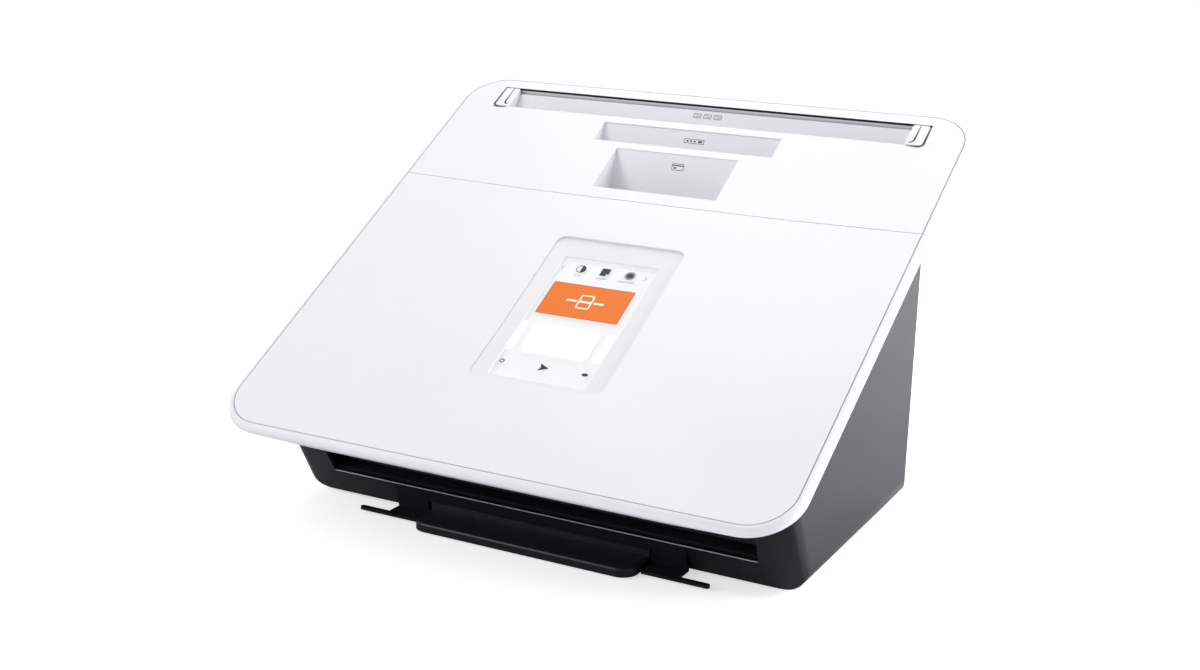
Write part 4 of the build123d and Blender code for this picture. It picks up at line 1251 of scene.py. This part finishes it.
@dataclass
class View:
    """Camera at the photograph's place.

    Args:
        place: Its place in millimetres.
        yaw: Degrees that it stands to the right of the front.
        pitch: Degrees that it looks down.
        roll: Degrees that it leans.
        lens: Its focal length in millimetres.
        sensor: Width of its sensor in millimetres.
        clip: Nearest and farthest distance in metres that it shows.
    """

    place: Triple = (347.5, -674.89, 290.0)
    yaw: float = 27.43
    pitch: float = 15.33
    roll: float = 1.40
    lens: float = 50.57
    sensor: float = 36.0
    clip: Pair = (0.01, 20.0)

    def build(self) -> None:
        """Make the camera and set it as the scene's."""
        data = bpy.data.cameras.new("camera")
        data.lens, data.sensor_width, data.sensor_fit = self.lens, self.sensor, "HORIZONTAL"
        yaw, pitch, roll = (math.radians(a) for a in (self.yaw, self.pitch, self.roll))
        back = Vector((math.sin(yaw) * math.cos(pitch), -math.cos(yaw) * math.cos(pitch),
                       math.sin(pitch)))
        right = (-back).cross(Vector((0, 0, 1))).normalized()
        up = right.cross(-back)
        right, up = (math.cos(roll) * right + math.sin(roll) * up,
                     math.cos(roll) * up - math.sin(roll) * right)
        turn = Matrix((right, up, back)).transposed().to_4x4()
        camera = bpy.data.objects.new("camera", data)
        bpy.context.scene.collection.objects.link(camera)
        camera.matrix_world = Matrix.Translation(Vector(self.place) * MM) @ turn
        data.clip_start, data.clip_end = self.clip
        bpy.context.scene.camera = camera
        bpy.context.scene.view_settings.view_transform = "Standard"


@dataclass
class Lamp:
    """Soft rectangular lamp, aimed at the scanner.

    Args:
        name: Its name.
        place: Its place in metres.
        size: Its width and height in metres.
        power: Its power in watts.
        code: Its colour.
        target: Height in metres that it is aimed at.
    """

    name: str
    place: Triple
    size: Pair
    power: float
    code: str = "FFFFFF"
    target: float = 0.09

    def build(self) -> None:
        """Make the lamp."""
        data = bpy.data.lights.new(self.name, "AREA")
        data.shape, data.size, data.size_y = "RECTANGLE", *self.size
        data.energy, data.color = self.power, tone(self.code)[:3]
        lamp = bpy.data.objects.new(self.name, data)
        bpy.context.scene.collection.objects.link(lamp)
        aim = Vector((0.0, 0.0, self.target)) - Vector(self.place)
        lamp.matrix_world = (Matrix.Translation(Vector(self.place))
                             @ aim.to_track_quat("-Z", "Y").to_matrix().to_4x4())


LAMPS = (
    Lamp("key", (-0.15, 0.5, 1.0), (0.9, 0.6), 4.0),
    Lamp("front", (-1.0, -1.2, 0.8), (0.8, 0.7), 8.8),
    Lamp("side", (1.4, 0.6, 0.6), (0.9, 0.9), 22.0, "F6F7FF"),
)


@dataclass
class Studio:
    """White sweep, pale surroundings that gloss shows dimmer in front, and three soft lamps.

    Args:
        floor_half: Half the floor's side in metres.
        surroundings: Strength of the even light all round.
        mirror_front: Strength of the surroundings in front, as gloss shows them.
        mirror_back: The same to the sides and the back.
        floor_code: Colour of the floor.
        floor_glow: Strength that lifts the floor to white for the camera.
        floor_mirror: Brightness of the far floor as gloss shows it.
        floor_dim: How far gloss shows the floor darker in front.
        away: Distances from the middle between which the floor counts as far.
        behind: Y between which the floor counts as lying behind.
        beside: Y between which gloss stops showing the floor darker.
        ahead: Y of a mirrored direction between which the surroundings brighten.
    """

    floor_half: float = 6.0
    surroundings: float = 0.5
    mirror_front: float = 0.1
    mirror_back: float = 0.9
    floor_code: str = "F6F6F8"
    floor_glow: float = 0.6
    floor_mirror: float = 0.35
    floor_dim: float = 0.92
    away: Pair = (0.1, 0.6)
    behind: Pair = (-0.2, 0.4)
    beside: Pair = (-0.14, 0.0)
    ahead: Pair = (-0.7, 0.1)

    def build(self) -> None:
        """Make the floor, the world and the lamps."""
        self.floor()
        self.world()
        for lamp in LAMPS:
            lamp.build()

    def floor(self) -> None:
        """White floor that keeps the shadow and looks white to the camera."""
        mesh = bmesh.new()
        mesh.faces.new([mesh.verts.new((x * self.floor_half, y * self.floor_half, 0.0))
                        for x, y in ((-1, -1), (1, -1), (1, 1), (-1, 1))])
        floor = mesh_object("floor", mesh)
        material = bpy.data.materials.new("floor_white")
        material.use_nodes = True
        graph = Graph(material.node_tree)
        path = graph.node("LightPath")
        seen = Value(graph, path.outputs["Is Camera Ray"])
        glossy = Value(graph, path.outputs["Is Glossy Ray"])
        at = graph.value("TexCoord", out="Object")
        distance = graph.value("VectorMath", {"operation": "LENGTH"}, {0: at}, out="Value")
        away = graph.ramp(distance, self.away)
        behind = graph.ramp(graph.coordinate("Y", at), self.behind)
        beside = graph.ramp(graph.coordinate("Y", at), self.beside)
        flagged = glossy * (1 - beside)
        ground = graph.blend(self.floor_dim * flagged, tone(self.floor_code), tone(BLACK))
        diffuse = graph.value("BsdfDiffuse", None, {"Color": ground})
        strength = seen * self.floor_glow + glossy * away * behind * self.floor_mirror
        glow = graph.value("Emission", None, {"Color": WHITE, "Strength": strength})
        both = graph.value("AddShader", None, {0: diffuse, 1: glow})
        graph.node("OutputMaterial", None, {"Surface": both})
        floor.data.materials.append(material)

    def world(self) -> None:
        """Even light all round that the camera sees as white and gloss as dimmer in front."""
        world = bpy.data.worlds.new("surroundings")
        world.use_nodes = True
        graph = Graph(world.node_tree)
        path = graph.node("LightPath")
        seen = graph.maths("MAXIMUM", Value(graph, path.outputs["Is Camera Ray"]),
                           Value(graph, path.outputs["Is Transmission Ray"]))
        glossy = Value(graph, path.outputs["Is Glossy Ray"])
        towards = graph.coordinate("Y", graph.value("TexCoord", out="Generated"))
        mirrored = graph.ramp(towards, self.ahead, (self.mirror_front, self.mirror_back))
        strength = (self.surroundings + seen * (1.0 - self.surroundings)
                    + glossy * (mirrored - self.surroundings))
        shader = graph.value("Background", None, {"Color": WHITE, "Strength": strength})
        graph.node("OutputWorld", None, {"Surface": shader})
        bpy.context.scene.world = world


# Finishes of the CAD nodes, by sub-assembly

COVER = {
    "cover_shell": WHITE_SHELL, "display_bezel": WHITE_SURROUND, "cover_liner": BLACK_INNER,
    "touch_glass": TOUCH_GLASS, "display_panel": DISPLAY, "display_board": DISPLAY_BOARD,
    "upper_paper_guide": BLACK_INNER, "upper_scan_module": MODULE_SHELL,
    "upper_scan_glass": SCAN_GLASS, "cover_screws": SCREW_STEEL, "cover_catches": BLACK_INNER,
    "pad_pivot_pin": DRAWN_STEEL, "pad_spring": DRAWN_STEEL, "pad_holder": BLACK_INNER,
    "separation_pad": PAD_RUBBER, "exit_pinch_roller": ACETAL, "feed_pinch_roller": ACETAL,
}
TRAY_IN = {
    "input_tray_panel": WHITE_SHELL, "input_tray_back": CHARCOAL_SHELL, "document_chute": WHITE_CHUTE,
    "receipt_chute": WHITE_CHUTE, "card_chute": WHITE_CHUTE, "left_paper_guide": WHITE_GUIDE,
    "right_paper_guide": WHITE_GUIDE, "guide_pinion": ACETAL,
}
BASE = {
    "base_housing": CHARCOAL_SHELL, "rubber_feet": FOOT_RUBBER, "base_screws": SCREW_STEEL,
    "chassis_plate": DARK_CHASSIS, "side_frame_left": SHEET_STEEL, "side_frame_right": SHEET_STEEL,
    "roller_bushes": ACETAL, "cover_hinge_pins": DRAWN_STEEL, "lower_paper_guide": SLATE_GUIDE,
    "lower_scan_module": MODULE_SHELL, "lower_scan_glass": SCAN_GLASS, "main_board": MAIN_BOARD,
    "power_jack": SOCKET_STEEL, "usb_socket": SOCKET_STEEL, "card_reader": SOCKET_STEEL,
    "power_button": BLACK_TRAY,
}
DRIVE = {
    "drive_belt": BELT_RUBBER, "feed_motor": SHEET_STEEL, "exit_roller_shaft": DRAWN_STEEL,
    "feed_roller_shaft": DRAWN_STEEL, "pick_roller_shaft": DRAWN_STEEL, "motor_shaft": DRAWN_STEEL,
    "exit_roller_tyres": TYRE_RUBBER, "feed_roller_tyres": TYRE_RUBBER,
    "pick_roller_tyre": TYRE_RUBBER, "exit_pulley": ACETAL, "feed_pulley": ACETAL,
    "feed_gear": ACETAL, "pick_gear": ACETAL, "pick_idler_gear": ACETAL, "reduction_gear": ACETAL,
    "motor_pinion": TURNED_BRASS, "paper_sensor_flag": BLACK_INNER,
}
TRAY_OUT = {"output_tray": BLACK_TRAY, "tray_extension": CHARCOAL_LIP}
GROUPS = (Dressing(COVER), Dressing(TRAY_IN), Dressing(BASE, 0.35), Dressing(TRAY_OUT, 1.1),
          Dressing(DRIVE, 0.1))


def main() -> None:
    """Build the studio and the scanner, group by group."""
    logging.basicConfig(level=logging.INFO, format="%(message)s")
    for part in (View(), Studio(), *GROUPS, ScreenPicture(), SlotMarks(), SlotShadeStrips(), GuideShadeLines(),
                 GrooveShadeLine(), ExitHighlight()):
        part.build()


if __name__ == "__main__":
    main()
